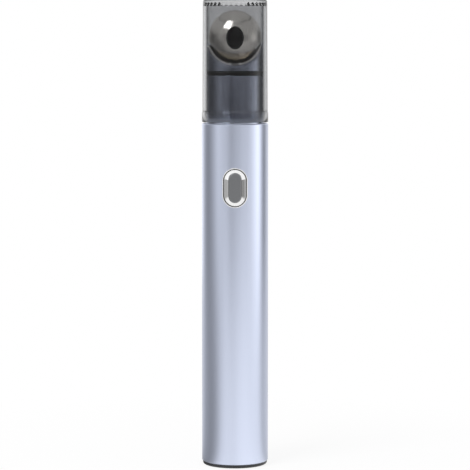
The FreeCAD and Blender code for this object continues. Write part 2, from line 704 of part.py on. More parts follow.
# ---------------------------------------------------------------- inside the barrel
def make_sled():
    """Half tube that carries the battery and the main board: its front edges are the board's
    rails, its end wall takes the collar's screws and its two bridges take the board's."""
    height = "sled_top - sled_foot"
    tube = rod("sled_outside", "sled_radius", height, ("0", "0", "sled_foot"))
    hollow = rod(
        "sled_hollow", "sled_bore", f"{height} - sled_end + 1", ("0", "0", "sled_foot - 1")
    )
    shell = less("sled_shell", tube, hollow)
    bridges = []
    for name, foot in (("lower", "lower_bridge"), ("upper", "upper_bridge")):
        bar = block(
            f"sled_{name}_bar",
            ("-sled_radius", "sled_radius"),
            ("-board_back", "-board_back + bridge_depth"),
            (foot, f"{foot} + bridge_height"),
        )
        disc = rod(
            f"sled_{name}_disc", "sled_bore + sled_wall / 2", "bridge_height", ("0", "0", foot)
        )
        bridges.append(shared(f"sled_{name}_bridge", bar, disc))
    whole = joined("sled_with_bridges", shell, *bridges)
    front = block(
        "sled_front",
        ("-2 * sled_radius", "2 * sled_radius"),
        ("-2 * sled_radius", "-board_back"),
        ("sled_foot - 1", "sled_top + 1"),
    )
    ribbon_way = block(
        "sled_ribbon_way",
        ("-flex_width", "flex_width"),
        ("-2 * sled_radius", "2 * flex_back"),
        ("sled_top - sled_end - 1", "sled_top + 1"),
    )
    holes = []
    for side in ("-", ""):
        place = (f"{side}collar_screw_radius", "0", "sled_top - sled_end - 1")
        holes.append(rod(f"sled_hole_{len(holes)}", "screw_radius", "sled_end + 2", place))
    for foot in ("lower_bridge", "upper_bridge"):
        place = ("board_screw_offset", "-board_back - 1", f"{foot} + bridge_height / 2")
        length = "bridge_depth + 2"
        holes.append(rod(f"sled_hole_{len(holes)}", "screw_radius", length, place, "back"))
    return less("chassis_sled", whole, front, ribbon_way, *holes)


def make_main_board():
    """Main circuit board, with clearance holes for its two screws."""
    body = new_body("main_board")
    sketch = rectangle(
        body,
        "outline",
        "XZ_Plane",
        ("-board_half", "board_half"),
        ("board_foot", "board_top"),
        "board_back",
    )
    pad(body, sketch, "board_thickness")
    holes = new_sketch(body, "holes", "XZ_Plane", "board_back")
    heights = [f"{foot} + bridge_height / 2" for foot in ("lower_bridge", "upper_bridge")]
    add_circles(holes, [("board_screw_offset", height) for height in heights], "hole_radius")
    pocket(body, holes, "board_thickness")
    return body


def make_board_screws():
    screws = []
    for foot in ("lower_bridge", "upper_bridge"):
        place = ("board_screw_offset", "-board_front", f"{foot} + bridge_height / 2")
        screws.append(screw(f"board_screw_{len(screws)}", "board_thickness", place, "back"))
    return grouped("board_screws", screws)


def make_battery():
    """Round lithium cell with rounded ends."""
    can = rod(
        "battery_can", "battery_radius", "battery_length", ("0", "battery_back", "battery_foot")
    )
    doc.recompute()

    def on_an_end(edge):
        return edge.BoundBox.ZLength < 1e-4

    return edged("battery_cell", "Fillet", can, on_an_end, "battery_round")


def make_battery_pad():
    """Strip of foam that follows the sled's wall behind the battery."""
    height = "(battery_length - 2 * pad_inset)"
    foot = "battery_foot + pad_inset"
    outside = rod("pad_outside", "sled_bore - pad_gap", height, ("0", "0", foot))
    inside = rod(
        "pad_inside", "sled_bore - pad_thickness + pad_gap", f"{height} + 2", ("0", "0", f"{foot} - 1")
    )
    strip = block(
        "pad_strip",
        ("-pad_width / 2", "pad_width / 2"),
        ("0", "2 * sled_bore"),
        (foot, f"{foot} + {height}"),
    )
    return shared("battery_pad", less("pad_ring", outside, inside), strip)


def make_battery_leads():
    """Two wires that rise from the battery and bend forward to the back of the main board."""
    body = new_body("battery_leads")
    spine = new_sketch(body, "spine", "YZ_Plane", "lead_spread")
    start = number("-board_back / 2 + battery_back / 2")
    foot = number("battery_top")
    bend_foot = number("battery_top + lead_rise")
    bend = number("lead_bend")
    turn_top = bend_foot + bend
    end = -number("board_back")
    rise = Part.LineSegment(FreeCAD.Vector(start, foot, 0), FreeCAD.Vector(start, bend_foot, 0))
    centre = FreeCAD.Vector(start - bend, bend_foot, 0)
    bend_circle = Part.Circle(centre, FreeCAD.Vector(0, 0, 1), bend)
    quarter = Part.ArcOfCircle(bend_circle, 0, math.pi / 2)
    run = Part.LineSegment(FreeCAD.Vector(start - bend, turn_top, 0), FreeCAD.Vector(end, turn_top, 0))
    for piece in (rise, quarter, run):
        spine.addGeometry(piece)
    for first, first_end, second, second_end in ((0, 2, 1, 1), (1, 2, 2, 1)):
        rule = Sketcher.Constraint("Tangent", first, first_end, second, second_end)
        spine.addConstraint(rule)
    pin_point(spine, 0, 1, "(battery_back - board_back) / 2", "battery_top")
    spine.addConstraint(Sketcher.Constraint("Vertical", 0))
    pin_point(spine, 1, 3, "(battery_back - board_back) / 2 - lead_bend", "battery_top + lead_rise")
    pin_point(spine, 2, 2, "-board_back", "lead_height")
    profile = new_sketch(body, "profile", "XY_Plane", "battery_top")
    add_circles(profile, [("lead_spread", "(battery_back - board_back) / 2")], "lead_radius")
    wire = body.newObject("PartDesign::AdditivePipe", "battery_lead")
    wire.Profile = profile
    wire.Spine = (spine, [])
    doc.recompute()
    pair = body.newObject("PartDesign::Mirrored", "battery_lead_pair")
    pair.Originals = [wire]
    plane = next(f for f in body.Origin.OriginFeatures if f.Role == "YZ_Plane")
    pair.MirrorPlane = (plane, [""])
    body.Tip = pair
    doc.recompute()
    return body


def on_board(name, width, low, high, thickness, middle="0", back="board_front"):
    """A flat component on the front of the main board, or of what is on it, between two heights."""
    across = (f"{middle} - ({width}) / 2", f"{middle} + ({width}) / 2")
    return block(name, across, (f"-({back} + {thickness})", f"-({back})"), (low, high))


def behind_board(name, width, low, high, thickness, middle="0"):
    """A flat component on the back of the main board, between two heights."""
    across = (f"{middle} - ({width}) / 2", f"{middle} + ({width}) / 2")
    return block(name, across, ("-board_back", f"-(board_back - {thickness})"), (low, high))


def make_radio():
    """Radio module: its own little board and the shield can on it."""
    foot = "wifi_top - wifi_height"
    board = on_board("wifi_module", "wifi_width", foot, "wifi_top", "wifi_thickness")
    width = "wifi_width - 2 * shield_inset"
    low = f"{foot} + shield_inset"
    can = on_board(
        "wifi_shield", width, low, f"{low} + shield_height", "shield_thickness", back="wifi_front"
    )
    return board, can


def make_small_components():
    """Two columns of resistors and capacitors beside the processor."""
    parts = []
    for side in (-1, 1):
        for step in range(4):
            high = f"chip_top - {step} * small_part_pitch"
            low = f"{high} - small_part_height"
            middle = f"{side} * small_part_offset"
            name = f"component_{len(parts)}"
            part = behind_board(
                name, "small_part_width", low, high, "small_part_thickness", middle
            )
            parts.append(part)
    return grouped("board_components", parts)


# ---------------------------------------------------------------- key
def make_bezel():
    """Polished ring round the key: a straight wall, then a bevel up to a narrow flat face."""
    body = new_body("button_bezel")
    shoulder = "bezel_front - bezel_drop"
    face_width = "bezel_width - 2 * bezel_bevel"
    face_height = "bezel_height - 2 * bezel_bevel"
    wall = stadium(
        body, "wall", "XZ_Plane", "key_centre", "bezel_width", "bezel_height", "bezel_back"
    )
    pad(body, wall, "bezel_depth - bezel_drop")
    low = stadium(body, "low", "XZ_Plane", "key_centre", "bezel_width", "bezel_height", shoulder)
    high = stadium(body, "high", "XZ_Plane", "key_centre", face_width, face_height, "bezel_front")
    bevel = body.newObject("PartDesign::AdditiveLoft", "bezel_bevel_loft")
    bevel.Profile = low
    bevel.Sections = [high]
    bevel.Ruled = True
    doc.recompute()
    width = "key_width + 2 * key_gap"
    height = "key_height + 2 * key_gap"
    way = stadium(body, "way", "XZ_Plane", "key_centre", width, height, "bezel_back - 1")
    pocket(body, way, "bezel_depth + 2")
    return body


def make_key():
    """The key's face and stem, on a flange that keeps it behind its bezel."""
    body = new_body("button_cap")
    wide = "key_width + 2 * key_flange"
    tall = "key_height + 2 * key_flange"
    flange = stadium(body, "flange", "XZ_Plane", "key_centre", wide, tall, "flange_back")
    pad(body, flange, "key_flange_thickness")
    stem = stadium(
        body, "stem", "XZ_Plane", "key_centre", "key_width", "key_height", "flange_front"
    )
    pad(body, stem, "key_front - flange_front")
    front = number("-key_front")

    def on_the_face(edge):
        return abs(edge.BoundBox.YMin - front) < 1e-4 and abs(edge.BoundBox.YMax - front) < 1e-4

    dress(body, "Fillet", on_the_face, "key_round")
    return body


def make_switch():
    """Switch housing with its well, and the plunger that the key pushes into it."""
    half = "switch_size / 2"
    body = block(
        "switch_block",
        (f"-{half}", half),
        ("-switch_front", "-board_front"),
        (f"key_centre - {half}", f"key_centre + {half}"),
    )
    well = rod(
        "switch_well",
        "plunger_radius + plunger_gap",
        "switch_front - well_floor + 1",
        ("0", "-switch_front - 1", "key_centre"),
        "back",
    )
    housing = less("switch_housing", body, well)
    plunger = rod(
        "switch_plunger",
        "plunger_radius",
        "flange_back - plunger_back",
        ("0", "-flange_back", "key_centre"),
        "back",
    )
    return housing, plunger


# ---------------------------------------------------------------- head
def make_collar():
    """Aluminium cup that plugs into the barrel. Its foot carries one broad and two narrow ridges
    inside the cap's rim."""
    body = new_body("head_collar")
    section = [
        ("collar_eye", "collar_foot"),
        ("plug_radius", "collar_foot"),
        ("plug_radius", "barrel_top"),
        ("ridge_radius", "barrel_top"),
        ("ridge_radius", "barrel_top + ridge_band - ridge_slope"),
        ("collar_radius", "barrel_top + ridge_band"),
    ]
    for step in (1, 2):
        top = f"barrel_top + ridge_band + {step} * ridge_pitch"
        section += [
            ("collar_radius", f"{top} - ridge_width"),
            ("ridge_radius", f"{top} - ridge_width + ridge_slope"),
            ("ridge_radius", f"{top} - ridge_slope"),
            ("collar_radius", top),
        ]
    section += [
        ("collar_radius", "collar_top"),
        ("cup_radius", "collar_top"),
        ("cup_radius", "cup_floor"),
        ("collar_eye", "cup_floor"),
    ]
    revolve(body, outline(body, "section", "XZ_Plane", section))
    holes = new_sketch(body, "holes", "XY_Plane", "collar_foot")
    centres = [("-collar_screw_radius", "0"), ("collar_screw_radius", "0")]
    add_circles(holes, centres, "hole_radius")
    pocket(body, holes, "collar_floor")
    return body


def make_collar_screws():
    screws = []
    for side in ("-", ""):
        place = (f"{side}collar_screw_radius", "0", "cup_floor")
        grip = "collar_floor + sled_clearance"
        screws.append(screw(f"collar_screw_{len(screws)}", grip, place, "down"))
    return grouped("collar_screws", screws)


def make_seal_ring():
    """Soft black ring under the cradle, on which the cap grips."""
    body = new_body("cap_seal_ring")
    section = [
        ("cradle_plug_radius", "collar_top"),
        ("cap_bore - seal_gap", "collar_top"),
        ("cap_bore - seal_gap", "seal_top"),
        ("cradle_plug_radius", "seal_top"),
    ]
    revolve(body, outline(body, "section", "XZ_Plane", section))
    outer = number("cap_bore - seal_gap")

    def on_the_rim(edge):
        return abs(edge.BoundBox.XMax - outer) < 1e-3 and edge.BoundBox.ZLength < 1e-3

    dress(body, "Fillet", on_the_rim, "seal_round")
    return body


def make_cradle():
    """Head piece that plugs into the collar, cut across from front to back by the saddle that the
    ball sits in, with the way through for the pivot post and the ribbon."""
    plug = rod(
        "cradle_plug",
        "cradle_plug_radius",
        "seal_top - cradle_plug_foot",
        ("0", "0", "cradle_plug_foot"),
    )
    head = rod("cradle_head", "collar_radius", "cradle_top - seal_top", ("0", "0", "seal_top"))
    saddle = rod(
        "cradle_saddle",
        "ball_radius + ball_gap",
        "4 * collar_radius",
        ("0", "-2 * collar_radius", "ball_height"),
        "back",
    )
    way = block(
        "cradle_way",
        ("-(post_width / 2 + post_fit)", "post_width / 2 + post_fit"),
        ("-(post_depth / 2 + post_fit)", "flex_back + 2 * flex_fit"),
        ("cradle_plug_foot - 1", "cradle_top"),
    )
    holes = [
        rod(
            f"cradle_hole_{i}",
            "screw_radius",
            "screw_bite + screw_clearance",
            (f"{side}post_screw_radius", "0", "cradle_plug_foot"),
        )
        for i, side in enumerate(("-", ""))
    ]
    sharp = less("cradle_sharp", joined("cradle_blank", plug, head), saddle, way, *holes)
    doc.recompute()
    rim = number("collar_radius")
    middle = number("ball_height")
    saddle_radius = number("ball_radius + ball_gap")

    def along_the_saddle(edge):
        spots = edge.discretize(7)
        outside = all(abs((p.x**2 + p.y**2) ** 0.5 - rim) < 1e-3 for p in spots)
        cut = all(abs((p.x**2 + (p.z - middle) ** 2) ** 0.5 - saddle_radius) < 1e-3 for p in spots)
        return outside and cut

    return edged("ball_cradle", "Chamfer", sharp, along_the_saddle, "cradle_edge")


def make_post():
    """Post that rises through the cradle into the ball and carries the tilt axle in its eye."""
    half = "post_width / 2"
    stem = block(
        "post_stem",
        (f"-{half}", half),
        ("-post_depth / 2", "post_depth / 2"),
        ("foot_base", "ball_height"),
    )
    eye = rod("post_eye", "eye_radius", "post_width", (f"-{half}", "0", "ball_height"), "right")
    foot = rod("post_foot", "foot_radius", "foot_height", ("0", "0", "foot_base"))
    bore = rod(
        "post_bore",
        "axle_radius + running_gap",
        "post_width + 2",
        (f"-{half} - 1", "0", "ball_height"),
        "right",
    )
    ribbon_way = block(
        "post_ribbon_way",
        ("-(flex_width / 2 + flex_fit)", "flex_width / 2 + flex_fit"),
        ("post_depth / 2", "flex_back + flex_fit"),
        ("foot_base - 1", "cradle_plug_foot + 1"),
    )
    holes = [
        rod(
            f"post_hole_{i}",
            "hole_radius",
            "foot_height + 2",
            (f"{side}post_screw_radius", "0", "foot_base - 1"),
        )
        for i, side in enumerate(("-", ""))
    ]
    blank = joined("post_blank", stem, eye, foot)
    return less("pivot_post", blank, bore, ribbon_way, *holes)


def make_post_screws():
    screws = []
    for side in ("-", ""):
        place = (f"{side}post_screw_radius", "0", "foot_base")
        screws.append(screw(f"post_screw_{len(screws)}", "foot_height", place, "up"))
    return grouped("post_screws", screws)


def make_flex():
    """The camera's ribbon: down the back of the post, through the collar's floor and forward to
    its connector behind the main board."""
    body = new_body("camera_flex")
    top = "ball_height - flex_drop"
    turn = "collar_foot - sled_end"
    end = "connector_top - connector_height / 2"
    near = "-(connector_back - 2 * flex_thickness)"
    route = [
        ("flex_front", top),
        ("flex_back", top),
        ("flex_back", turn),
        (f"{near} + flex_thickness", f"{turn} - flex_back + {near}"),
        (f"{near} + flex_thickness", end),
        (f"{near} - 2 * flex_thickness", end),
        (f"{near} - 2 * flex_thickness", f"{end} + flex_thickness"),
        (near, f"{end} + flex_thickness"),
        (near, f"{turn} - flex_back + {near} + flex_thickness"),
        ("flex_front", f"{turn} + flex_thickness"),
    ]
    sketch = outline(body, "route", "YZ_Plane", route)
    pad(body, sketch, "flex_width", both_ways=True)
    return body


def make_connector():
    half = "connector_width / 2"
    return block(
        "flex_connector",
        (f"-{half}", half),
        ("-board_back", "-connector_back"),
        ("connector_top - connector_height", "connector_top"),
    )


# ---------------------------------------------------------------- ball camera
CENTRE = ("0", "0", "ball_height")


def tall_oval(name, trim):
    """A solid oval bar from the ball's centre to its front, smaller than the window's opening all
    round by the trim."""
    curve = doc.addObject("Part::Ellipse", f"{name}_curve")
    curve.Placement = FreeCAD.Placement(
        FreeCAD.Vector(),
        FreeCAD.Rotation(FreeCAD.Vector(0, 0, 1), FreeCAD.Vector(1, 0, 0), FreeCAD.Vector(0, -1, 0)),
    )
    bind(curve, "MajorRadius", f"window_height / 2 - ({trim})")
    bind(curve, "MinorRadius", f"window_width / 2 - ({trim})")
    put(curve, CENTRE)
    bar = doc.addObject("Part::Extrusion", name)
    bar.Base = curve
    bar.DirMode = "Custom"
    bar.Dir = FreeCAD.Vector(0, -1, 0)
    bar.Solid = True
    bind(bar, "LengthFwd", "2 * ball_radius")
    return bar


def make_ball_shells():
    """The ball's two halves, which clamp the axle between their bosses. The slot underneath and
    behind leaves room for the post as the ball tilts."""
    outside = ball("ball_outside", "ball_radius", CENTRE)
    inside = ball("ball_inside", "ball_inner", CENTRE)
    wall = less("ball_wall_shell", outside, inside)
    bosses = []
    for i, start in enumerate(("-ball_radius", "boss_inner")):
        bar = rod(f"boss_{i}_bar", "boss_radius", "ball_radius - boss_inner", (start, *CENTRE[1:]), "right")
        limit = ball(f"boss_{i}_limit", "(ball_inner + ball_radius) / 2", CENTRE)
        bosses.append(shared(f"boss_{i}", bar, limit))
    hollow = joined("ball_hollow", wall, *bosses)
    axle_way = rod(
        "ball_axle_way",
        "axle_radius + clamp_gap",
        "2 * (axle_half + clamp_gap)",
        ("-axle_half - clamp_gap", "0", "ball_height"),
        "right",
    )
    slot = doc.addObject("Part::Cylinder", "ball_slot")
    slot.Placement = FreeCAD.Placement(FreeCAD.Vector(), TURN["right"])
    half_slot = "post_width / 2 + slot_gap"
    bind(slot, "Radius", "2 * ball_radius")
    bind(slot, "Height", f"2 * ({half_slot})")
    bind(slot, "Angle", "tilt_travel + 2 * slot_margin")
    put(slot, (f"-({half_slot})", "0", "ball_height"))
    # the sector starts at the foot of the ball, less the margin, and turns towards the back
    start = FreeCAD.Rotation(FreeCAD.Vector(0, 0, 1), -number("slot_margin"))
    slot.Placement.Rotation = TURN["right"].multiply(start)
    opening = tall_oval("window_opening", "-window_fit")
    drilled = less("ball_drilled", hollow, axle_way, slot, opening)
    halves = []
    for name, near, far in (
        ("ball_front_shell", "-2 * ball_radius", "0"),
        ("ball_rear_shell", "0", "2 * ball_radius"),
    ):
        side = block(
            f"{name}_side",
            ("-2 * ball_radius", "2 * ball_radius"),
            (near, far),
            ("ball_height - 2 * ball_radius", "ball_height + 2 * ball_radius"),
        )
        halves.append(shared(name, drilled, side))
    return halves


def make_window():
    """The oval window, curved to the ball's surface, and the gasket round it."""
    outer = ball("window_outer", "window_front", CENTRE)
    inner = ball("window_inner", "window_back", CENTRE)
    curved = less("window_curved", outer, inner)
    pane = shared("lens_window", curved, tall_oval("window_bar", "gasket_width + window_fit"))
    ring = less(
        "gasket_ring", tall_oval("gasket_outer", "0"), tall_oval("gasket_inner", "gasket_width")
    )
    return pane, shared("window_gasket", curved, ring)


def make_lens():
    """Lens barrel and the domed front lens that closes it."""
    length = "lens_front - sensor_front"
    start = ("0", "-lens_front", "ball_height")
    outside = rod("lens_outside", "lens_barrel_radius", length, start, "back")
    bore_radius = "lens_barrel_radius - lens_barrel_wall"
    bore = rod(
        "lens_bore",
        bore_radius,
        f"{length} + 2",
        ("0", "-lens_front - 1", "ball_height"),
        "back",
    )
    barrel = less("lens_barrel", outside, bore)
    disc = rod(
        "lens_disc", f"{bore_radius} - clamp_gap", "lens_thickness", start, "back"
    )
    dome_centre = ("0", "-lens_front + 2 * lens_barrel_radius", "ball_height")
    dome = ball("lens_dome", "2 * lens_barrel_radius", dome_centre)
    return barrel, shared("front_lens", disc, dome)


def upright_plate(name, width, height, back, front):
    """A plate square to the lens's axis, between two distances in front of the ball's centre."""
    return block(
        name,
        (f"-({width}) / 2", f"({width}) / 2"),
        (f"-({front})", f"-({back})"),
        (f"ball_height - ({height}) / 2", f"ball_height + ({height}) / 2"),
    )


def make_light_board():
    """Board round the lens barrel, with one light above the lens and one below it."""
    plate = upright_plate(
        "light_plate", "led_board_width", "led_board_height", "led_board_back", "led_board_front"
    )
    hole = rod(
        "light_hole",
        "lens_barrel_radius + running_gap",
        "2 * lens_front",
        ("0", "-2 * lens_front", "ball_height"),
        "back",
    )
    lights = []
    for side in ("-", "+"):
        middle = f"ball_height {side} led_spread"
        light = block(
            f"light_{len(lights)}",
            ("-led_size / 2", "led_size / 2"),
            ("-(led_board_front + led_thickness)", "-led_board_front"),
            (f"{middle} - led_size / 2", f"{middle} + led_size / 2"),
        )
        lights.append(light)
    return less("led_board", plate, hole), grouped("led_pair", lights)


def make_camera_frame():
    """Frame inside the ball: a cheek on each side of the post and a plate in front of it."""
    plate_back = "plate_front - plate_thickness"
    solids = [
        upright_plate(
            "frame_plate", "2 * cheek_outer", "sensor_board_height", plate_back, "plate_front"
        )
    ]
    for i, start in enumerate(("-cheek_outer", "washer_outer")):
        place = (start, "0", "ball_height")
        solids.append(rod(f"cheek_{i}_disc", "cheek_radius", "cheek_thickness", place, "right"))
        solids.append(
            block(
                f"cheek_{i}_arm",
                (start, f"{start} + cheek_thickness"),
                ("-plate_front", "0"),
                ("ball_height - cheek_radius", "ball_height + cheek_radius"),
            )
        )
    way = rod(
        "frame_axle_way",
        "axle_radius + clamp_gap",
        "4 * cheek_outer",
        ("-2 * cheek_outer", "0", "ball_height"),
        "right",
    )
    return less("camera_frame", joined("frame_blank", *solids), way)


def make_washers():
    """A friction washer on each side of the post's eye."""
    rings = []
    for start in ("-washer_outer", "washer_inner"):
        place = (start, "0", "ball_height")
        disc = rod(f"washer_{len(rings)}_disc", "washer_radius", "washer_thickness", place, "right")
        hole = rod(
            f"washer_{len(rings)}_hole",
            "axle_radius + clamp_gap",
            "washer_thickness + 2",
            (f"{start} - 1", "0", "ball_height"),
            "right",
        )
        rings.append(less(f"washer_{len(rings)}", disc, hole))
    return grouped("friction_washers", rings)


# ---------------------------------------------------------------- cap
def make_cap():
    """Clear cap: a rim as wide as the barrel, a wall that draws in towards the top, a rounded top
    edge, and a bevel in the inner corner under the roof."""
    body = new_body("cap_shell")
    top_radius = "cap_outer - cap_draft"
    section = [
        ("rim_bore", "cap_foot"),
        ("barrel_radius", "cap_foot"),
        ("barrel_radius", "cap_shoulder"),
        ("cap_outer", "cap_shoulder"),
        (top_radius, "cap_top"),
        ("0", "cap_top"),
        ("0", "cap_ceiling"),
        ("cap_bore - cap_bevel", "cap_ceiling"),
        ("cap_bore", "cap_ceiling - cap_bevel"),
        ("cap_bore", "cap_shoulder + relief_over + rim_relief"),
        ("rim_bore", "cap_shoulder + relief_over"),
    ]
    revolve(body, outline(body, "section", "XZ_Plane", section))
    dress(body, "Fillet", level_circle(top_radius, "cap_top"), "cap_edge_round")
    return body


# ---------------------------------------------------------------- the whole otoscope
pieces = {}


def add(*things):
    """Takes finished sub-parts: each one's label is its own name."""
    for thing in things:
        thing.Label = thing.Name
        pieces[thing.Label] = thing


add(make_body_tube(), make_base_plug(), make_base_seal())
add(make_port_shell(), make_port_tongue(), make_charge_board())
add(make_sled(), make_main_board(), make_board_screws())
add(make_battery(), make_battery_pad(), make_battery_leads())
add(*make_radio())
add(behind_board("processor_chip", "chip_size", "chip_foot", "chip_top", "chip_thickness"))
antenna_high = "board_top - antenna_drop"
antenna_low = "board_top - antenna_drop - antenna_height"
add(on_board("antenna_chip", "antenna_width", antenna_low, antenna_high, "antenna_thickness"))
add(make_small_components())
add(make_bezel(), make_key(), *make_switch())
add(make_collar(), make_collar_screws(), make_seal_ring(), make_cradle())
add(make_post(), make_post_screws(), make_flex(), make_connector())
add(*make_ball_shells())
add(*make_window())
add(*make_lens())
sensor_size = ("sensor_width", "sensor_width")
add(upright_plate("image_sensor", *sensor_size, "sensor_back", "sensor_front"))
board_size = ("sensor_board_width", "sensor_board_height")
add(upright_plate("sensor_board", *board_size, "plate_front", "sensor_back"))
add(*make_light_board())
add(make_camera_frame(), make_washers())
axle_start = ("-axle_half", "0", "ball_height")
add(rod("tilt_axle", "axle_radius", "2 * axle_half", axle_start, "right"))
add(make_cap())
doc.recompute()

for thing in doc.Objects:
    if "Invalid" in thing.State or "Error" in thing.State:
        raise RuntimeError(f"{thing.Name} did not build: {thing.State}")
for label, thing in pieces.items():
    if thing.Shape.isNull() or not thing.Shape.isValid() or not thing.Shape.Solids:
        raise RuntimeError(f"{label} has no valid solid")

os.makedirs("parts", exist_ok=True)
for label, thing in pieces.items():
    thing.Shape.exportStep(f"parts/{label}.step")
print(len(pieces), "sub-parts written")
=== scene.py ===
import json

import bmesh
import bpy
import numpy as np
from bpy.props import (
    FloatProperty,
    FloatVectorProperty,
    IntProperty,
    PointerProperty,
)
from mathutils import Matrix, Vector


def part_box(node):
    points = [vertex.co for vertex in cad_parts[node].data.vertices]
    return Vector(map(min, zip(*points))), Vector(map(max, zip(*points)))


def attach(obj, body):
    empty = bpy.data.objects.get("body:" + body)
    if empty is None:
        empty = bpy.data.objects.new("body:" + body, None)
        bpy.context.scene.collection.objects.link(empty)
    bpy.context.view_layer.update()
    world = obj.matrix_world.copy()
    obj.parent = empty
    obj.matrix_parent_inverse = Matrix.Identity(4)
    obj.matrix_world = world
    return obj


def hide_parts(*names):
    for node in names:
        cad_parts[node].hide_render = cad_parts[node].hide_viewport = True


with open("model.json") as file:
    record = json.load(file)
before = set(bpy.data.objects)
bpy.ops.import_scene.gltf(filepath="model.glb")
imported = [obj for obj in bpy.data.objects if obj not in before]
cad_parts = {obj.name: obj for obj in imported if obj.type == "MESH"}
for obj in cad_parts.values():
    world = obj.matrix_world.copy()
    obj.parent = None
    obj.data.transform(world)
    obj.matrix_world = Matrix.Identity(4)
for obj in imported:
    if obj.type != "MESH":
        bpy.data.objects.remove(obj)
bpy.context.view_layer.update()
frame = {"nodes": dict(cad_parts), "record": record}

bl_info = {
    "name": "Pen otoscope",
    "version": (1, 0, 0),
    "blender": (4, 5, 0),
    "location": "3D View > Sidebar > Otoscope",
    "description": "Surfaces, finishes and stage for a pen-shaped digital otoscope",
    "category": "Object",
}

MM = 0.001
TURN = 2 * np.pi


def lowest(node):
    """The corner of a CAD node's box with the least X, Y and Z."""
    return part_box(node)[0]


def highest(node):
    """The corner of a CAD node's box with the greatest X, Y and Z."""
    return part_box(node)[1]


BARREL_RADIUS = highest("body_tube").x
BARREL_TOP = highest("body_tube").z
KEY_CENTRE = (lowest("button_bezel").z + highest("button_bezel").z) / 2
CAP_FOOT = lowest("cap_shell").z
CAP_TOP = highest("cap_shell").z
COLLAR_TOP = highest("head_collar").z
HEAD_RADIUS = highest("ball_cradle").x
BALL_RADIUS = highest("ball_rear_shell").x
BALL_CENTRE = (lowest("tilt_axle") + highest("tilt_axle")) / 2


# ------------------------------------------------------------------ settings
def length(label, value, words):
    """A setting in metres."""
    return FloatProperty(name=label, description=words, default=value, unit="LENGTH", min=0.0)


def amount(label, value, words):
    """A setting that is a plain number."""
    return FloatProperty(name=label, description=words, default=value, min=0.0)


def paint(label, value, words):
    """A setting that is a colour."""
    return FloatVectorProperty(
        name=label, description=words, default=value, subtype="COLOR", size=3, min=0.0, max=1.0
    )


class BarrelSettings(bpy.types.PropertyGroup):
    colour: paint("Anodising", (0.675, 0.728, 0.88), "Colour of the anodised barrel")
    roughness: amount("Roughness", 0.30, "How far the barrel's satin spreads a reflection")
    grain: amount("Grain", 0.05, "How much the lengthwise brushing varies the roughness")


class CapSettings(bpy.types.PropertyGroup):
    tint: paint("Tint", (0.495, 0.50, 0.51), "Light that one pass through the wall lets through")
    rim_height: length("Rim height", 2.6 * MM, "Height of the rim")
    step: length("Step", 0.12 * MM, "How far the wall stands in from the rim")
    draft: length("Draft", 0.18 * MM, "How much the wall draws in towards the top")
    wall: length("Wall", 1.13 * MM, "Wall thickness at the rim")
    roof: length("Roof", 1.2 * MM, "Roof thickness")
    relief: length("Relief", 0.35 * MM, "How much wider the bore is inside the rim")
    relief_over: length("Relief height", 0.3 * MM, "How far the wider bore runs past the rim")
    edge_round: length("Edge rounding", 0.7 * MM, "Rounding of the top edge")
    bevel: length("Inner bevel", 0.75 * MM, "Fluted bevel in the inner top corner")
    flutes: IntProperty(name="Flutes", description="Flutes round the bevel", default=36, min=3)
    flute_depth: length("Flute depth", 0.10 * MM, "Depth of the flutes")
    # The fins are dark strips of painted shade for the flutes, not ribs of the cap.
    shade_fin_height: length("Fin height", 0.30 * MM, "How far the dark ribs run out from the bevel")
    shade_fin_thickness: length("Fin thickness", 0.34 * MM, "Thickness of the dark ribs")


class HeadSettings(bpy.types.PropertyGroup):
    barrel_wall: length("Barrel wall", 0.8 * MM, "Wall of the barrel that the collar plugs into")
    ridge_rise: length("Ridge rise", 0.25 * MM, "How far the ridges stand out")
    band: length("Band", 1.3 * MM, "Top of the wide ridge above the barrel")
    first_ridge: length("First ridge", 2.1 * MM, "Top of the lower narrow ridge above the barrel")
    second_ridge: length("Second ridge", 2.9 * MM, "Top of the upper narrow ridge above the barrel")
    ridge_height: length("Ridge height", 0.36 * MM, "Height of the narrow ridges")
    wall: length("Wall", 1.25 * MM, "Collar wall")
    floor: length("Floor", 1.8 * MM, "Collar floor")
    eye: length("Eye", 2.6 * MM, "Radius of the hole in the collar's floor")
    liner: length("Liner", 0.03 * MM, "Thickness of the saddle's plated liner")
    liner_gap: length("Liner gap", 0.125 * MM, "Clearance between the ball and the liner")
    liner_half_width: length("Liner half width", 7.0 * MM, "Half of the liner's width")
    saddle_edge: length("Saddle edge", 0.6 * MM, "Chamfer along the saddle's front and back")


class KeySettings(bpy.types.PropertyGroup):
    face: paint("Key face", (0.26, 0.265, 0.275), "Satin face of the key")
    ring_width: length("Ring width", 1.29 * MM, "Ring, from its outer edge to the key")
    seat: length("Seat", 0.24 * MM, "Width of the barrel's bright edge round the ring")
    gap: length("Gap", 0.17 * MM, "Dark line between the ring and the bright edge")
    dish: length("Dish", 0.48 * MM, "How far the ring falls from its outer edge to the key")
    lip: length("Lip", 0.12 * MM, "Rounding of the ring's outer edge")


class BallSettings(bpy.types.PropertyGroup):
    colour: paint("Nickel", (0.78, 0.745, 0.69), "Colour of the ball's plating")
    roughness: amount("Roughness", 0.20, "How far the ball spreads a reflection")


class StageSettings(bpy.types.PropertyGroup):
    distance: length("Camera distance", 588.4 * MM, "Camera, in front of the barrel's axis")
    camera_height: length("Camera height", 112.4 * MM, "Camera, above the floor")
    pitch: FloatProperty(
        name="Pitch",
        description="How far the camera looks down",
        default=np.radians(4.83),
        subtype="ANGLE",
    )
    lens: FloatProperty(name="Lens", description="Focal length", default=166.4, unit="CAMERA")
    floor_radius: length("Floor radius", 0.5, "Radius of the round floor")
    diffuse: amount("Room level", 0.7, "Even light on matt surfaces")
    key_level: amount("Key light", 4.0, "Brightness of the soft light high on the left")


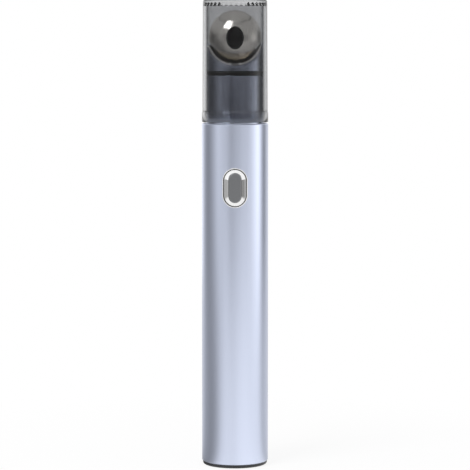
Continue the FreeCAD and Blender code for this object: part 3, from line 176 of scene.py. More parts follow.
# ------------------------------------------------------------------ surfaces
def grid_faces(rows, columns):
    """Quads over a rows by columns grid of points, joined round the columns."""
    row = np.arange(rows - 1)[:, None]
    column = np.arange(columns)[None, :]
    after = (column + 1) % columns
    quads = np.stack(
        [
            row * columns + column,
            row * columns + after,
            (row + 1) * columns + after,
            (row + 1) * columns + column,
        ],
        axis=-1,
    )
    return quads.reshape(-1, 4)


def mesh_piece(name, points, faces, ends=(), smooth=True, sharp=35.0):
    """A mesh object from arrays of points and faces, with the outlines given as ends closed by a
    face each. Points that coincide are merged, and edges sharper than the angle given, in
    degrees, stay sharp."""
    mesh = bpy.data.meshes.new(name)
    mesh.from_pydata(points.reshape(-1, 3).tolist(), [], faces.tolist() + list(ends))
    piece = bpy.data.objects.new(name, mesh)
    bpy.context.scene.collection.objects.link(piece)
    work = bmesh.new()
    work.from_mesh(mesh)
    bmesh.ops.remove_doubles(work, verts=work.verts, dist=1e-7)
    bmesh.ops.dissolve_degenerate(work, edges=work.edges, dist=1e-8)
    bmesh.ops.recalc_face_normals(work, faces=work.faces)
    work.to_mesh(mesh)
    work.free()
    if smooth:
        mesh.polygons.foreach_set("use_smooth", np.ones(len(mesh.polygons), bool))
        mesh.set_sharp_from_angle(angle=np.radians(sharp))
    mesh.update()
    return piece


def rounded(corners, radii, steps=6):
    """A path through corners given as (radius, height) pairs, where each corner with a rounding
    radius becomes an arc tangent to both its sides."""
    corners = np.asarray(corners, float)
    path = []
    for i, (corner, radius) in enumerate(zip(corners, radii)):
        if radius == 0:
            path.append(corner[None])
            continue
        before = corners[i - 1] - corner
        after = corners[(i + 1) % len(corners)] - corner
        before /= np.linalg.norm(before)
        after /= np.linalg.norm(after)
        half = np.arccos(np.clip(before @ after, -1, 1)) / 2
        bisector = (before + after) / np.linalg.norm(before + after)
        centre = corner + bisector * radius / np.sin(half)
        start = corner + before * radius / np.tan(half) - centre
        end = corner + after * radius / np.tan(half) - centre
        share = np.linspace(0, 1, steps)[:, None]
        sweep = np.pi - 2 * half
        arc = (np.sin((1 - share) * sweep) * start + np.sin(share * sweep) * end) / np.sin(sweep)
        path.append(centre + arc)
    return np.concatenate(path)


def turned(name, profile, segments):
    """A surface of revolution: each (radius, height) of the profile carried round Z, so that the
    point at angle a is (radius cos a, radius sin a, height). The profile itself closes."""
    profile = np.asarray(profile, float)
    profile = np.vstack([profile, profile[:1]])
    angle = np.linspace(0, TURN, segments, endpoint=False)
    radius = profile[:, 0][:, None]
    height = profile[:, 1][:, None] + 0 * angle
    points = np.stack([radius * np.cos(angle), radius * np.sin(angle), height], axis=-1)
    return mesh_piece(name, points, grid_faces(len(profile), segments))


# ------------------------------------------------------------------ materials
def new_group(name, inputs, outputs):
    """An empty node group with named sockets, given as (name, type, default) and (name, type)."""
    group = bpy.data.node_groups.new(name, "ShaderNodeTree")
    for label, kind, default in inputs:
        socket = group.interface.new_socket(label, in_out="INPUT", socket_type=kind)
        socket.default_value = default
    for label, kind in outputs:
        group.interface.new_socket(label, in_out="OUTPUT", socket_type=kind)
    return group


def grain_group():
    """Lengthwise brushing: noise drawn out along Z. Gives a mask from 0 to 1 and a normal."""
    name = "Lengthwise grain"
    if name in bpy.data.node_groups:
        return bpy.data.node_groups[name]
    group = new_group(
        name,
        [
            ("Lines per metre", "NodeSocketFloat", 9000.0),
            ("Stretch", "NodeSocketFloat", 0.02),
            ("Depth", "NodeSocketFloat", 0.02),
        ],
        [("Mask", "NodeSocketFloat"), ("Normal", "NodeSocketVector")],
    )
    nodes = group.nodes
    links = group.links
    into = nodes.new("NodeGroupInput")
    out = nodes.new("NodeGroupOutput")
    place = nodes.new("ShaderNodeTexCoord")
    along = nodes.new("ShaderNodeMath")
    along.operation = "MULTIPLY"
    combine = nodes.new("ShaderNodeCombineXYZ")
    scale = nodes.new("ShaderNodeVectorMath")
    scale.operation = "MULTIPLY"
    noise = nodes.new("ShaderNodeTexNoise")
    noise.inputs["Scale"].default_value = 1.0
    noise.inputs["Detail"].default_value = 4.0
    noise.inputs["Roughness"].default_value = 0.6
    bump = nodes.new("ShaderNodeBump")
    bump.inputs["Distance"].default_value = 0.01 * MM
    links.new(into.outputs["Lines per metre"], along.inputs[0])
    links.new(into.outputs["Stretch"], along.inputs[1])
    links.new(into.outputs["Lines per metre"], combine.inputs["X"])
    links.new(into.outputs["Lines per metre"], combine.inputs["Y"])
    links.new(along.outputs["Value"], combine.inputs["Z"])
    links.new(place.outputs["Object"], scale.inputs[0])
    links.new(combine.outputs["Vector"], scale.inputs[1])
    links.new(scale.outputs["Vector"], noise.inputs["Vector"])
    links.new(noise.outputs["Fac"], bump.inputs["Height"])
    links.new(into.outputs["Depth"], bump.inputs["Strength"])
    links.new(noise.outputs["Fac"], out.inputs["Mask"])
    links.new(bump.outputs["Normal"], out.inputs["Normal"])
    return group


def fleck_group():
    """Fine even texture of a moulded or blasted surface, as a mask and a normal."""
    name = "Fine fleck"
    if name in bpy.data.node_groups:
        return bpy.data.node_groups[name]
    group = new_group(
        name,
        [("Flecks per metre", "NodeSocketFloat", 5000.0), ("Depth", "NodeSocketFloat", 0.1)],
        [("Mask", "NodeSocketFloat"), ("Normal", "NodeSocketVector")],
    )
    nodes = group.nodes
    links = group.links
    into = nodes.new("NodeGroupInput")
    out = nodes.new("NodeGroupOutput")
    place = nodes.new("ShaderNodeTexCoord")
    noise = nodes.new("ShaderNodeTexNoise")
    noise.inputs["Detail"].default_value = 3.0
    bump = nodes.new("ShaderNodeBump")
    bump.inputs["Distance"].default_value = 0.02 * MM
    links.new(place.outputs["Object"], noise.inputs["Vector"])
    links.new(into.outputs["Flecks per metre"], noise.inputs["Scale"])
    links.new(noise.outputs["Fac"], bump.inputs["Height"])
    links.new(into.outputs["Depth"], bump.inputs["Strength"])
    links.new(noise.outputs["Fac"], out.inputs["Mask"])
    links.new(bump.outputs["Normal"], out.inputs["Normal"])
    return group


def surface(name, **values):
    """A material with a Principled shader whose sockets, named with underscores, hold values."""
    material = bpy.data.materials.new(name)
    material.use_nodes = True
    shader = material.node_tree.nodes["Principled BSDF"]
    for label, value in values.items():
        socket = shader.inputs[label.replace("_", " ")]
        socket.default_value = (*value, 1.0) if isinstance(value, (tuple, list)) else value
    return material, shader


def textured(name, kind, settings, spread=0.0, shade=0.0, colour=(1, 1, 1), **values):
    """A material whose roughness and colour vary with a texture group's mask and whose normal is
    the group's. Spread is the change in roughness and shade the change in brightness."""
    material, shader = surface(name, Base_Color=tuple(colour), **values)
    nodes = material.node_tree.nodes
    links = material.node_tree.links
    texture = nodes.new("ShaderNodeGroup")
    texture.node_tree = kind()
    for label, value in settings.items():
        texture.inputs[label].default_value = value
    links.new(texture.outputs["Normal"], shader.inputs["Normal"])
    rough = nodes.new("ShaderNodeMapRange")
    rough.inputs["To Min"].default_value = max(values.get("Roughness", 0.5) - spread, 0.02)
    rough.inputs["To Max"].default_value = values.get("Roughness", 0.5) + spread
    links.new(texture.outputs["Mask"], rough.inputs["Value"])
    links.new(rough.outputs["Result"], shader.inputs["Roughness"])
    if shade:
        tone = nodes.new("ShaderNodeMix")
        tone.data_type = "RGBA"
        tone.inputs["A"].default_value = (*[c * (1 - shade) for c in colour], 1)
        tone.inputs["B"].default_value = (*[min(c * (1 + shade), 1) for c in colour], 1)
        links.new(texture.outputs["Mask"], tone.inputs["Factor"])
        links.new(tone.outputs["Result"], shader.inputs["Base Color"])
    return material


def wear(piece, material):
    """Puts one material on a piece or on a CAD node."""
    piece.data.materials.clear()
    piece.data.materials.append(material)


# ------------------------------------------------------------------ finishes
def plain_metal(name, colour, roughness, flecks=2500.0):
    """Bare or plated metal with a faint unevenness in its polish."""
    return textured(
        name,
        fleck_group,
        {"Flecks per metre": flecks, "Depth": 0.03},
        spread=0.3 * roughness,
        shade=0.04,
        colour=colour,
        Metallic=1.0,
        Roughness=roughness,
    )


def moulded(name, colour, roughness, depth=0.25, flecks=9000.0, shade=0.12):
    """Moulded plastic, rubber, resin or ceramic with a fine texture."""
    return textured(
        name,
        fleck_group,
        {"Flecks per metre": flecks, "Depth": depth},
        spread=0.08,
        shade=shade,
        colour=colour,
        Roughness=roughness,
    )


def brushed(name, colour, roughness, grain):
    """Anodised aluminium brushed along its length."""
    return textured(
        name,
        grain_group,
        {"Lines per metre": 9000.0, "Stretch": 0.02, "Depth": 0.2},
        spread=grain,
        shade=0.03,
        colour=colour,
        Metallic=1.0,
        Roughness=roughness,
    )


def clear(name, colour, roughness, ior, gloss=1.0):
    """Clear plastic or glass, tinted by what one wall lets through. Gloss scales how much it
    reflects face on."""
    return surface(
        name,
        Base_Color=colour,
        Roughness=roughness,
        Transmission_Weight=1.0,
        IOR=ior,
        Specular_Tint=(gloss, gloss, gloss),
    )


def smoke(colour, reach):
    """Smoke plastic with painted shade: its tint turns towards near black where a wall is seen
    nearly edge on, the bore over a wide band and the outside over a narrower one. Reach is the
    distance from the axis that parts them."""
    material, shader = clear("Smoke plastic", colour, roughness=0.01, ior=1.49, gloss=0.3)
    nodes = material.node_tree.nodes
    links = material.node_tree.links
    slant = nodes.new("ShaderNodeLayerWeight")
    outside_shade_band = (0.66, 0.84)
    bore_shade_band = (0.50, 0.74)
    shade_bands = []
    for least, most in (outside_shade_band, bore_shade_band):
        band = nodes.new("ShaderNodeMapRange")
        band.inputs["From Min"].default_value = least
        band.inputs["From Max"].default_value = most
        links.new(slant.outputs["Facing"], band.inputs["Value"])
        shade_bands.append(band)
    place = nodes.new("ShaderNodeTexCoord")
    flat = nodes.new("ShaderNodeVectorMath")
    flat.operation = "MULTIPLY"
    flat.inputs[1].default_value = (1, 1, 0)
    span = nodes.new("ShaderNodeVectorMath")
    span.operation = "LENGTH"
    inside = nodes.new("ShaderNodeMath")
    inside.operation = "LESS_THAN"
    inside.inputs[1].default_value = reach
    painted_shade_share = nodes.new("ShaderNodeMix")
    # Painted shade: the tint is mixed from the plastic's colour towards near black (0.02) by the
    # facing bands.
    tint = nodes.new("ShaderNodeMix")
    tint.data_type = "RGBA"
    tint.inputs["A"].default_value = (*colour, 1)
    tint.inputs["B"].default_value = (0.02, 0.02, 0.022, 1)
    links.new(place.outputs["Object"], flat.inputs[0])
    links.new(flat.outputs["Vector"], span.inputs[0])
    links.new(span.outputs["Value"], inside.inputs[0])
    links.new(inside.outputs["Value"], painted_shade_share.inputs["Factor"])
    links.new(shade_bands[0].outputs["Result"], painted_shade_share.inputs["A"])
    links.new(shade_bands[1].outputs["Result"], painted_shade_share.inputs["B"])
    links.new(painted_shade_share.outputs["Result"], tint.inputs["Factor"])
    links.new(tint.outputs["Result"], shader.inputs["Base Color"])
    return material


def circuit_board():
    """Green solder mask over copper: brick-shaped fields of copper show as a paler green."""
    material, shader = surface("Solder mask", Roughness=0.35, Coat_Weight=0.4)
    nodes = material.node_tree.nodes
    links = material.node_tree.links
    place = nodes.new("ShaderNodeTexCoord")
    fields = nodes.new("ShaderNodeTexBrick")
    fields.inputs["Color1"].default_value = (0.010, 0.085, 0.035, 1)
    fields.inputs["Color2"].default_value = (0.018, 0.13, 0.05, 1)
    fields.inputs["Mortar"].default_value = (0.006, 0.05, 0.02, 1)
    fields.inputs["Scale"].default_value = 1400.0
    turn = nodes.new("ShaderNodeMapping")
    turn.inputs["Rotation"].default_value = (np.pi / 2, 0, 0)
    links.new(place.outputs["Object"], turn.inputs["Vector"])
    links.new(turn.outputs["Vector"], fields.inputs["Vector"])
    links.new(fields.outputs["Color"], shader.inputs["Base Color"])
    return material


def finishes(scene):
    """One material for each slot of the record."""
    barrel = scene.otoscope_barrel
    ball = scene.otoscope_ball
    cap = scene.otoscope_cap
    # Painted shade: the head's aluminium is the barrel's colour darkened to 0.62, for its place
    # under the smoke cap.
    head_painted_shade = 0.62
    head_polish = 0.5
    bore = BARREL_RADIUS - cap.step - cap.wall
    return {
        "barrel_aluminium": brushed(
            "Barrel aluminium", tuple(barrel.colour), barrel.roughness, barrel.grain
        ),
        "head_aluminium": brushed(
            "Head aluminium with painted shade",
            tuple(head_painted_shade * c for c in barrel.colour),
            head_polish * barrel.roughness,
            barrel.grain,
        ),
        "polished_chrome": plain_metal("Chrome", (0.88, 0.88, 0.88), 0.10),
        "key_metal": plain_metal("Satin key", tuple(scene.otoscope_key.face), 0.38, 20000.0),
        "ball_metal": plain_metal("Warm nickel", tuple(ball.colour), ball.roughness, 600.0),
        # The smoke plastic carries painted shade: its walls turn near black where seen edge on.
        "smoke_plastic": smoke(tuple(cap.tint), bore + 0.2 * MM),
        "black_plastic": moulded("Black plastic", (0.014, 0.015, 0.017), 0.42),
        "frame_plastic": moulded("Grey plastic", (0.20, 0.21, 0.23), 0.45),
        "black_rubber": moulded("Black rubber", (0.010, 0.010, 0.011), 0.55),
        "window_glass": clear("Dark window", (0.02, 0.02, 0.022), 0.02, 1.5, 0.5)[0],
        "lens_glass": clear("Lens glass", (0.75, 0.80, 0.92), 0.0, 1.6)[0],
        "steel": plain_metal("Steel", (0.60, 0.60, 0.61), 0.25),
        "brass_gold": plain_metal("Gold plating", (0.85, 0.62, 0.28), 0.22),
        "board_green": circuit_board(),
        "chip_black": moulded("Chip resin", (0.02, 0.02, 0.022), 0.35),
        "battery_wrap": moulded("Battery wrap", (0.03, 0.08, 0.30), 0.30, 0.1, 1500.0),
        "foam": moulded("Black foam", (0.03, 0.03, 0.032), 0.9, 0.9, 6000.0, 0.4),
        "lead_red": moulded("Lead insulation", (0.45, 0.02, 0.02), 0.40),
        "flex_amber": moulded("Ribbon film", (0.42, 0.19, 0.04), 0.30, 0.05),
        "led_lens": moulded("Light resin", (0.75, 0.68, 0.36), 0.25, 0.05),
        "ceramic": moulded("Ceramic", (0.62, 0.60, 0.56), 0.40),
    }


def dress(context):
    """Every CAD node gets the material of its slot."""
    materials = finishes(context.scene)
    slots = {part["node"]: part["material_slot"] for part in frame["record"]["subparts"]}
    for name, node in frame["nodes"].items():
        wear(node, materials[slots[name]])


# ------------------------------------------------------------------ pieces
def cap_profile(look):
    """Half section of the cap as (radius, height): up the outside, in along the top, out along the
    ceiling, down the bevel and the bore. Also the rows of it that lie on the bevel."""
    outer = BARREL_RADIUS - look.step
    bore = outer - look.wall
    shoulder = CAP_FOOT + look.rim_height
    ceiling = CAP_TOP - look.roof
    corners = [
        (bore + look.relief, CAP_FOOT),
        (BARREL_RADIUS, CAP_FOOT),
        (BARREL_RADIUS, shoulder),
        (outer, shoulder),
        (outer - look.draft, CAP_TOP),
        (0, CAP_TOP),
    ]
    rounds = [0.1 * MM, 0.15 * MM, 0.06 * MM, 0.05 * MM, look.edge_round, 0]
    outside = rounded(corners, rounds)
    share = np.linspace(0, 1, 9)[:, None]
    top = np.array([(bore - look.bevel, ceiling)])
    foot = np.array([(bore, ceiling - look.bevel)])
    bevel = top * (1 - share) + foot * share
    hold = 0.01 * MM
    before = np.array([(0, ceiling), (bore - look.bevel - hold, ceiling)])
    after = np.array([(bore, ceiling - look.bevel - hold), (bore, ceiling - look.bevel - 2 * hold)])
    step_up = shoulder + look.relief_over
    wide = bore + look.relief
    relief = rounded(
        [(bore, ceiling), (bore, step_up), (wide, step_up), (wide, CAP_FOOT)],
        [0, 0.12 * MM, 0.1 * MM, 0],
    )[1:-1]
    profile = np.vstack([outside, before, bevel, after, relief])
    first = len(outside) + len(before)
    return profile, np.arange(first, first + len(bevel))


def make_cap(context):
    """The cap's half section carried round Z. On the bevel each point moves along the bevel's
    normal by the flute depth times a rounded square wave of the angle and a half sine of the way
    down the bevel, which cuts the flutes."""
    look = context.scene.otoscope_cap
    profile, bevel = cap_profile(look)
    profile = np.vstack([profile, profile[:1]])
    columns = look.flutes * 10
    angle = np.linspace(0, TURN, columns, endpoint=False)
    radius = np.repeat(profile[:, :1], columns, axis=1)
    height = np.repeat(profile[:, 1:], columns, axis=1)
    down = np.linspace(0, 1, len(bevel))[:, None]
    wave = np.sin(look.flutes * angle[None, :])
    cut = look.flute_depth * np.sin(np.pi * down) ** 0.5 * (0.5 + 0.5 * np.tanh(2.5 * wave))
    radius[bevel] += cut / np.sqrt(2)
    height[bevel] += cut / np.sqrt(2)
    points = np.stack([radius * np.cos(angle), radius * np.sin(angle), height], axis=-1)
    piece = mesh_piece("clear_cap", points, grid_faces(len(profile), columns))
    wear(piece, frame["nodes"]["cap_shell"].data.materials[0])
    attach(piece, "cap")
    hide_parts("cap_shell")


def make_shade_fins(context):
    """Dark radial strips of painted shade set into the cap behind its inner bevel, standing in for
    the shade of the flutes seen nearly edge on, in two groups to the left and right. A strip's
    outline in its own radial plane is the bevel's length by the strip's height. It is given half
    its thickness to each side and turned about Z by each evenly spaced angle."""
    look = context.scene.otoscope_cap
    bore = BARREL_RADIUS - look.step - look.wall
    ceiling = CAP_TOP - look.roof
    shy = 0.03 * MM
    phase = 0.75
    least_side_for_shade = 0.46
    outward = np.array([1.0, 1.0]) / np.sqrt(2)
    top = np.array([bore - look.bevel, ceiling]) + shy * outward
    foot = np.array([bore, ceiling - look.bevel]) + shy * outward
    rise = outward * look.shade_fin_height
    outline = np.array([foot, top, top + rise, foot + rise])
    side = look.shade_fin_thickness / 2
    radius = np.concatenate([outline[:, 0], outline[:, 0]])
    height = np.concatenate([outline[:, 1], outline[:, 1]])
    offset = np.repeat([-side, side], len(outline))
    angle = (np.arange(look.flutes) + phase) * TURN / look.flutes
    # Only the strips to the left and right are kept, where the flutes' painted shade shows.
    angle = angle[np.abs(np.cos(angle)) > least_side_for_shade]
    cos = np.cos(angle)[:, None]
    sin = np.sin(angle)[:, None]
    x = radius[None] * cos - offset[None] * sin
    y = radius[None] * sin + offset[None] * cos
    z = np.repeat(height[None], len(angle), axis=0)
    corners = 2 * len(outline)
    box = np.array(
        [[0, 1, 2, 3], [7, 6, 5, 4], [0, 4, 5, 1], [1, 5, 6, 2], [2, 6, 7, 3], [3, 7, 4, 0]]
    )
    faces = (box[None] + corners * np.arange(len(angle))[:, None, None]).reshape(-1, 4)
    piece = mesh_piece("cap_shade_fins", np.stack([x, y, z], axis=-1), faces, smooth=False)
    # Near-black painted shade of the flutes.
    wear(piece, moulded("Painted flute shade", (0.006, 0.006, 0.007), 0.35, 0.1))
    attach(piece, "cap")


def make_collar(context):
    """The collar's half section carried round Z: inside the barrel a plain plug, then a wide
    ridge, two narrow ridges with rounded backs and undercut grooves, and the wall up to the ring."""
    look = context.scene.otoscope_head
    plug = BARREL_RADIUS - look.barrel_wall - 0.05 * MM
    wall = HEAD_RADIUS
    crest = wall + look.ridge_rise
    seam = BARREL_TOP
    band = seam + look.band
    first = seam + look.first_ridge
    second = seam + look.second_ridge
    high = look.ridge_height
    bore = wall - look.wall
    foot = lowest("head_collar").z
    corners = [
        (plug, foot),
        (plug, seam - 0.35 * MM),
        (crest, seam - 0.1 * MM),
        (crest, band),
        (wall, band + 0.12 * MM),
        (wall, first - high - 0.12 * MM),
        (crest, first - high),
        (crest, first - 0.12 * MM),
        (wall, first),
        (wall, second - high - 0.12 * MM),
        (crest, second - high),
        (crest, second - 0.12 * MM),
        (wall, second),
        (wall, COLLAR_TOP),
        (bore, COLLAR_TOP),
        (bore, foot + look.floor),
        (look.eye, foot + look.floor),
        (look.eye, foot),
    ]
    small = 0.06 * MM
    rounds = [0.1 * MM, *[small] * 12, 0.1 * MM, 0.05 * MM, 0, 0, 0]
    piece = turned("collar", rounded(corners, rounds, 5), 192)
    # Painted shade: the collar is the barrel's aluminium darkened to 0.6 of its colour, for its
    # place under the smoke cap.
    metal = tuple(0.6 * c for c in context.scene.otoscope_barrel.colour)
    wear(piece, plain_metal("Turned collar with painted shade", metal, 0.07, 600.0))
    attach(piece, "handle")
    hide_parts("head_collar")


def make_saddle(context):
    """The plated liner of the saddle under the ball. Its section runs along Y, front to back on
    the inside and back on the outside, and is carried along an arc about the tilt axis: at angle
    a from straight down a point is at (r sin a, y, centre - r cos a), and the front and back ends
    stay a chamfer's width inside the head's round wall."""
    look = context.scene.otoscope_head
    inner = BALL_RADIUS + look.liner_gap
    outer = inner + look.liner
    reach = np.arcsin(look.liner_half_width / inner)
    around = 96
    along = 14
    angle = np.linspace(-reach, reach, around)
    across = inner * np.sin(angle)
    end = np.sqrt(HEAD_RADIUS**2 - across**2) - look.saddle_edge
    share = np.linspace(-1, 1, along)
    share = np.concatenate([share, [1, -1]])
    radius = np.concatenate([np.full(along, inner), [outer, outer]])
    x = radius[None, :] * np.sin(angle)[:, None]
    y = share[None, :] * end[:, None]
    z = BALL_CENTRE.z - radius[None, :] * np.cos(angle)[:, None]
    points = np.stack([x, y, z], axis=-1)
    columns = len(share)
    last = (around - 1) * columns
    ends = [list(range(columns)), list(range(last, last + columns))]
    piece = mesh_piece("saddle_liner", points, grid_faces(around, columns), ends)
    nickel = tuple(context.scene.otoscope_ball.colour)
    wear(piece, plain_metal("Saddle plating", nickel, 0.18, 600.0))
    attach(piece, "handle")


def stadium_path(half_width, half_height, around):
    """Points of a stadium in the XZ plane, widest half_width across and half_height up, and the
    outward normal at each. A quarter turn of the path is a quarter of its points."""
    turn = np.linspace(0, TURN, around, endpoint=False)
    normal = np.stack([np.cos(turn), np.sin(turn)], axis=-1)
    lift = (half_height - half_width) * np.sign(np.round(np.sin(turn), 9))
    points = normal * half_width
    points[:, 1] += lift
    return points, normal


def carried(name, section, half_width, half_height, back=0.0):
    """A section of (distance out from the path, depth behind the barrel's front) carried round a
    stadium, each point moved along the path's normal and back along Y. Every Y is held between
    the barrel's foremost line and the flat back."""
    section = np.vstack([section, section[:1]])
    points, normal = stadium_path(half_width, half_height, 200)
    place = points[None] + section[:, 0][:, None, None] * normal[None]
    depth = np.clip(on_barrel(place[..., 0]) + section[:, 1][:, None], -BARREL_RADIUS, back)
    ring = np.stack([place[..., 0], depth, place[..., 1] + KEY_CENTRE], axis=-1)
    return mesh_piece(name, ring, grid_faces(len(section), len(points)))


def on_barrel(across):
    """Y of the barrel's front at a distance across."""
    return -np.sqrt(BARREL_RADIUS**2 - across**2)


def make_key_ring(context):
    """The dished chrome ring, the barrel's bright rounded edge round it and, between them, a black
    strip of painted shade in the gap, each a closed section carried round a stadium and bent to
    the barrel's front."""
    look = context.scene.otoscope_key
    low = lowest("button_bezel")
    high = highest("button_bezel")
    half_width = high.x
    half_height = (high.z - low.z) / 2
    depth = high.y - low.y
    ring = [(0, depth), (0, 0), (-look.ring_width, look.dish), (-look.ring_width, depth)]
    ring = rounded(ring, [0, look.lip, look.lip, 0], 8)
    piece = carried("key_ring", ring, half_width, half_height, high.y)
    wear(piece, frame["nodes"]["button_bezel"].data.materials[0])
    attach(piece, "handle")
    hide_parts("button_bezel")
    proud = -0.02 * MM
    foot = 0.3 * MM
    edge = [
        (look.gap, foot),
        (look.gap, proud),
        (look.gap + look.seat, proud),
        (look.gap + look.seat, foot),
    ]
    edge = rounded(edge, [0, 0.07 * MM, 0.07 * MM, 0], 8)
    seat = carried("key_seat_edge", edge, half_width, half_height)
    wear(seat, plain_metal("Cut edge", (0.98, 0.98, 0.99), 0.5))
    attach(seat, "handle")
    # Painted shade: a black rubber strip fills the gap between the ring and the bright edge,
    # standing in for the gap's shadow.
    slack = 0.01 * MM
    line = [(slack, foot), (slack, proud / 2), (look.gap, proud / 2), (look.gap, foot)]
    dark = carried("key_gap_shade", np.array(line), half_width, half_height)
    wear(dark, frame["nodes"]["cap_seal_ring"].data.materials[0])
    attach(dark, "handle")


# ------------------------------------------------------------------ stage
def bearing(nodes, links, vector):
    """Socket with the compass bearing of a direction as 0 to 1, where 0.5 is the front, -Y, and
    0.75 is the right, +X."""
    split = nodes.new("ShaderNodeSeparateXYZ")
    front = nodes.new("ShaderNodeMath")
    front.operation = "MULTIPLY"
    front.inputs[1].default_value = -1.0
    around = nodes.new("ShaderNodeMath")
    around.operation = "ARCTAN2"
    share = nodes.new("ShaderNodeMath")
    share.operation = "MULTIPLY_ADD"
    share.inputs[1].default_value = 1 / TURN
    share.inputs[2].default_value = 0.5
    links.new(vector, split.inputs["Vector"])
    links.new(split.outputs["Y"], front.inputs[0])
    links.new(split.outputs["X"], around.inputs[0])
    links.new(front.outputs["Value"], around.inputs[1])
    links.new(around.outputs["Value"], share.inputs[0])
    return share.outputs["Value"], split.outputs["Z"]


def level_ramp(nodes, levels, top):
    """A ramp through brightnesses given as (degrees from the front, level), stored as shares of
    the brightest."""
    ramp = nodes.new("ShaderNodeValToRGB").color_ramp
    while len(ramp.elements) > 1:
        ramp.elements.remove(ramp.elements[-1])
    for i, (degrees, level) in enumerate(levels):
        place = (degrees + 180) / 360
        element = ramp.elements[0] if i == 0 else ramp.elements.new(place)
        element.position = place
        element.color = (level / top,) * 3 + (1,)
    return nodes[-1]


ROOM = (
    (-180, 1.05), (-165, 1.35), (-150, 1.20), (-135, 0.68), (-120, 0.33), (-105, 0.23),
    (-90, 0.36), (-75, 0.62), (-60, 0.95), (-45, 0.64), (-30, 0.60), (-15, 0.22), (0, 0.44),
    (15, 0.44), (30, 0.64), (45, 0.58), (60, 0.92), (75, 1.35), (90, 1.85), (105, 0.58),
    (120, 0.08), (135, 0.68), (150, 0.85), (165, 0.95), (180, 1.05),
)
# Painted light on the floor as metal sees it: glow levels by compass bearing.
PAINTED_FLOOR_LIGHT = (
    (-180, 0.80), (-150, 0.80), (-135, 0.65), (-120, 0.45), (-90, 0.30), (-75, 0.30),
    (-60, 0.45), (-45, 0.85), (-30, 1.02), (0, 1.03), (15, 1.15), (45, 1.14), (60, 1.03),
    (75, 1.02), (90, 0.86), (105, 0.60), (120, 0.66), (135, 0.78), (150, 0.80), (180, 0.80),
)
BRIGHTEST = 2.0
CEILING_FROM, CEILING_FULL = 0.06, 0.26  # height of a direction at which the pale ceiling starts
PATCH_EDGE, PATCH_CORE = 20.0, 2.0  # degrees from the key light's direction
WHITE_REACH, WHITE_LEAST = 0.12, 0.86  # where the floor turns pure white, and how white at first
KEY_LIGHT = Vector((-0.44, -0.50, 0.745))


def area_lamp(name, place, target, width, height, power):
    """A rectangular soft light at a place, turned towards a target."""
    data = bpy.data.lights.new(name, "AREA")
    data.shape = "RECTANGLE"
    data.size = width
    data.size_y = height
    data.energy = power
    lamp = bpy.data.objects.new(name, data)
    bpy.context.scene.collection.objects.link(lamp)
    lamp.location = place
    lamp.rotation_mode = "QUATERNION"
    lamp.rotation_quaternion = (Vector(target) - Vector(place)).to_track_quat("-Z", "Y")
    return lamp


def make_camera(look):
    """The camera in front of the barrel, looking a little down."""
    data = bpy.data.cameras.new("camera")
    data.lens = look.lens
    data.sensor_width = 36.0
    data.clip_start = 0.01
    data.clip_end = 50.0
    camera = bpy.data.objects.new("camera", data)
    bpy.context.scene.collection.objects.link(camera)
    camera.location = (0, -look.distance, look.camera_height)
    camera.rotation_euler = (np.pi / 2 - look.pitch, 0, 0)
    bpy.context.scene.camera = camera


def multiply(nodes, links, first, second):
    """Socket with the product of two sockets or numbers."""
    product = nodes.new("ShaderNodeMath")
    product.operation = "MULTIPLY"
    for socket, value in zip(product.inputs, (first, second)):
        if isinstance(value, (int, float)):
            socket.default_value = value
        else:
            links.new(value, socket)
    return product.outputs["Value"]


def seen_directly(nodes, links):
    """Socket that is 1 for what the camera sees, straight or through clear plastic, and 0 for
    what a surface reflects."""
    path = nodes.new("ShaderNodeLightPath")
    unreflected = nodes.new("ShaderNodeMath")
    unreflected.operation = "LESS_THAN"
    unreflected.inputs[1].default_value = 0.5
    links.new(path.outputs["Glossy Depth"], unreflected.inputs[0])
    through = path.outputs["Is Transmission Ray"]
    clear_path = multiply(nodes, links, through, unreflected.outputs["Value"])
    seen = nodes.new("ShaderNodeMath")
    seen.operation = "MAXIMUM"
    links.new(path.outputs["Is Camera Ray"], seen.inputs[0])
    links.new(clear_path, seen.inputs[1])
    return seen.outputs["Value"], path


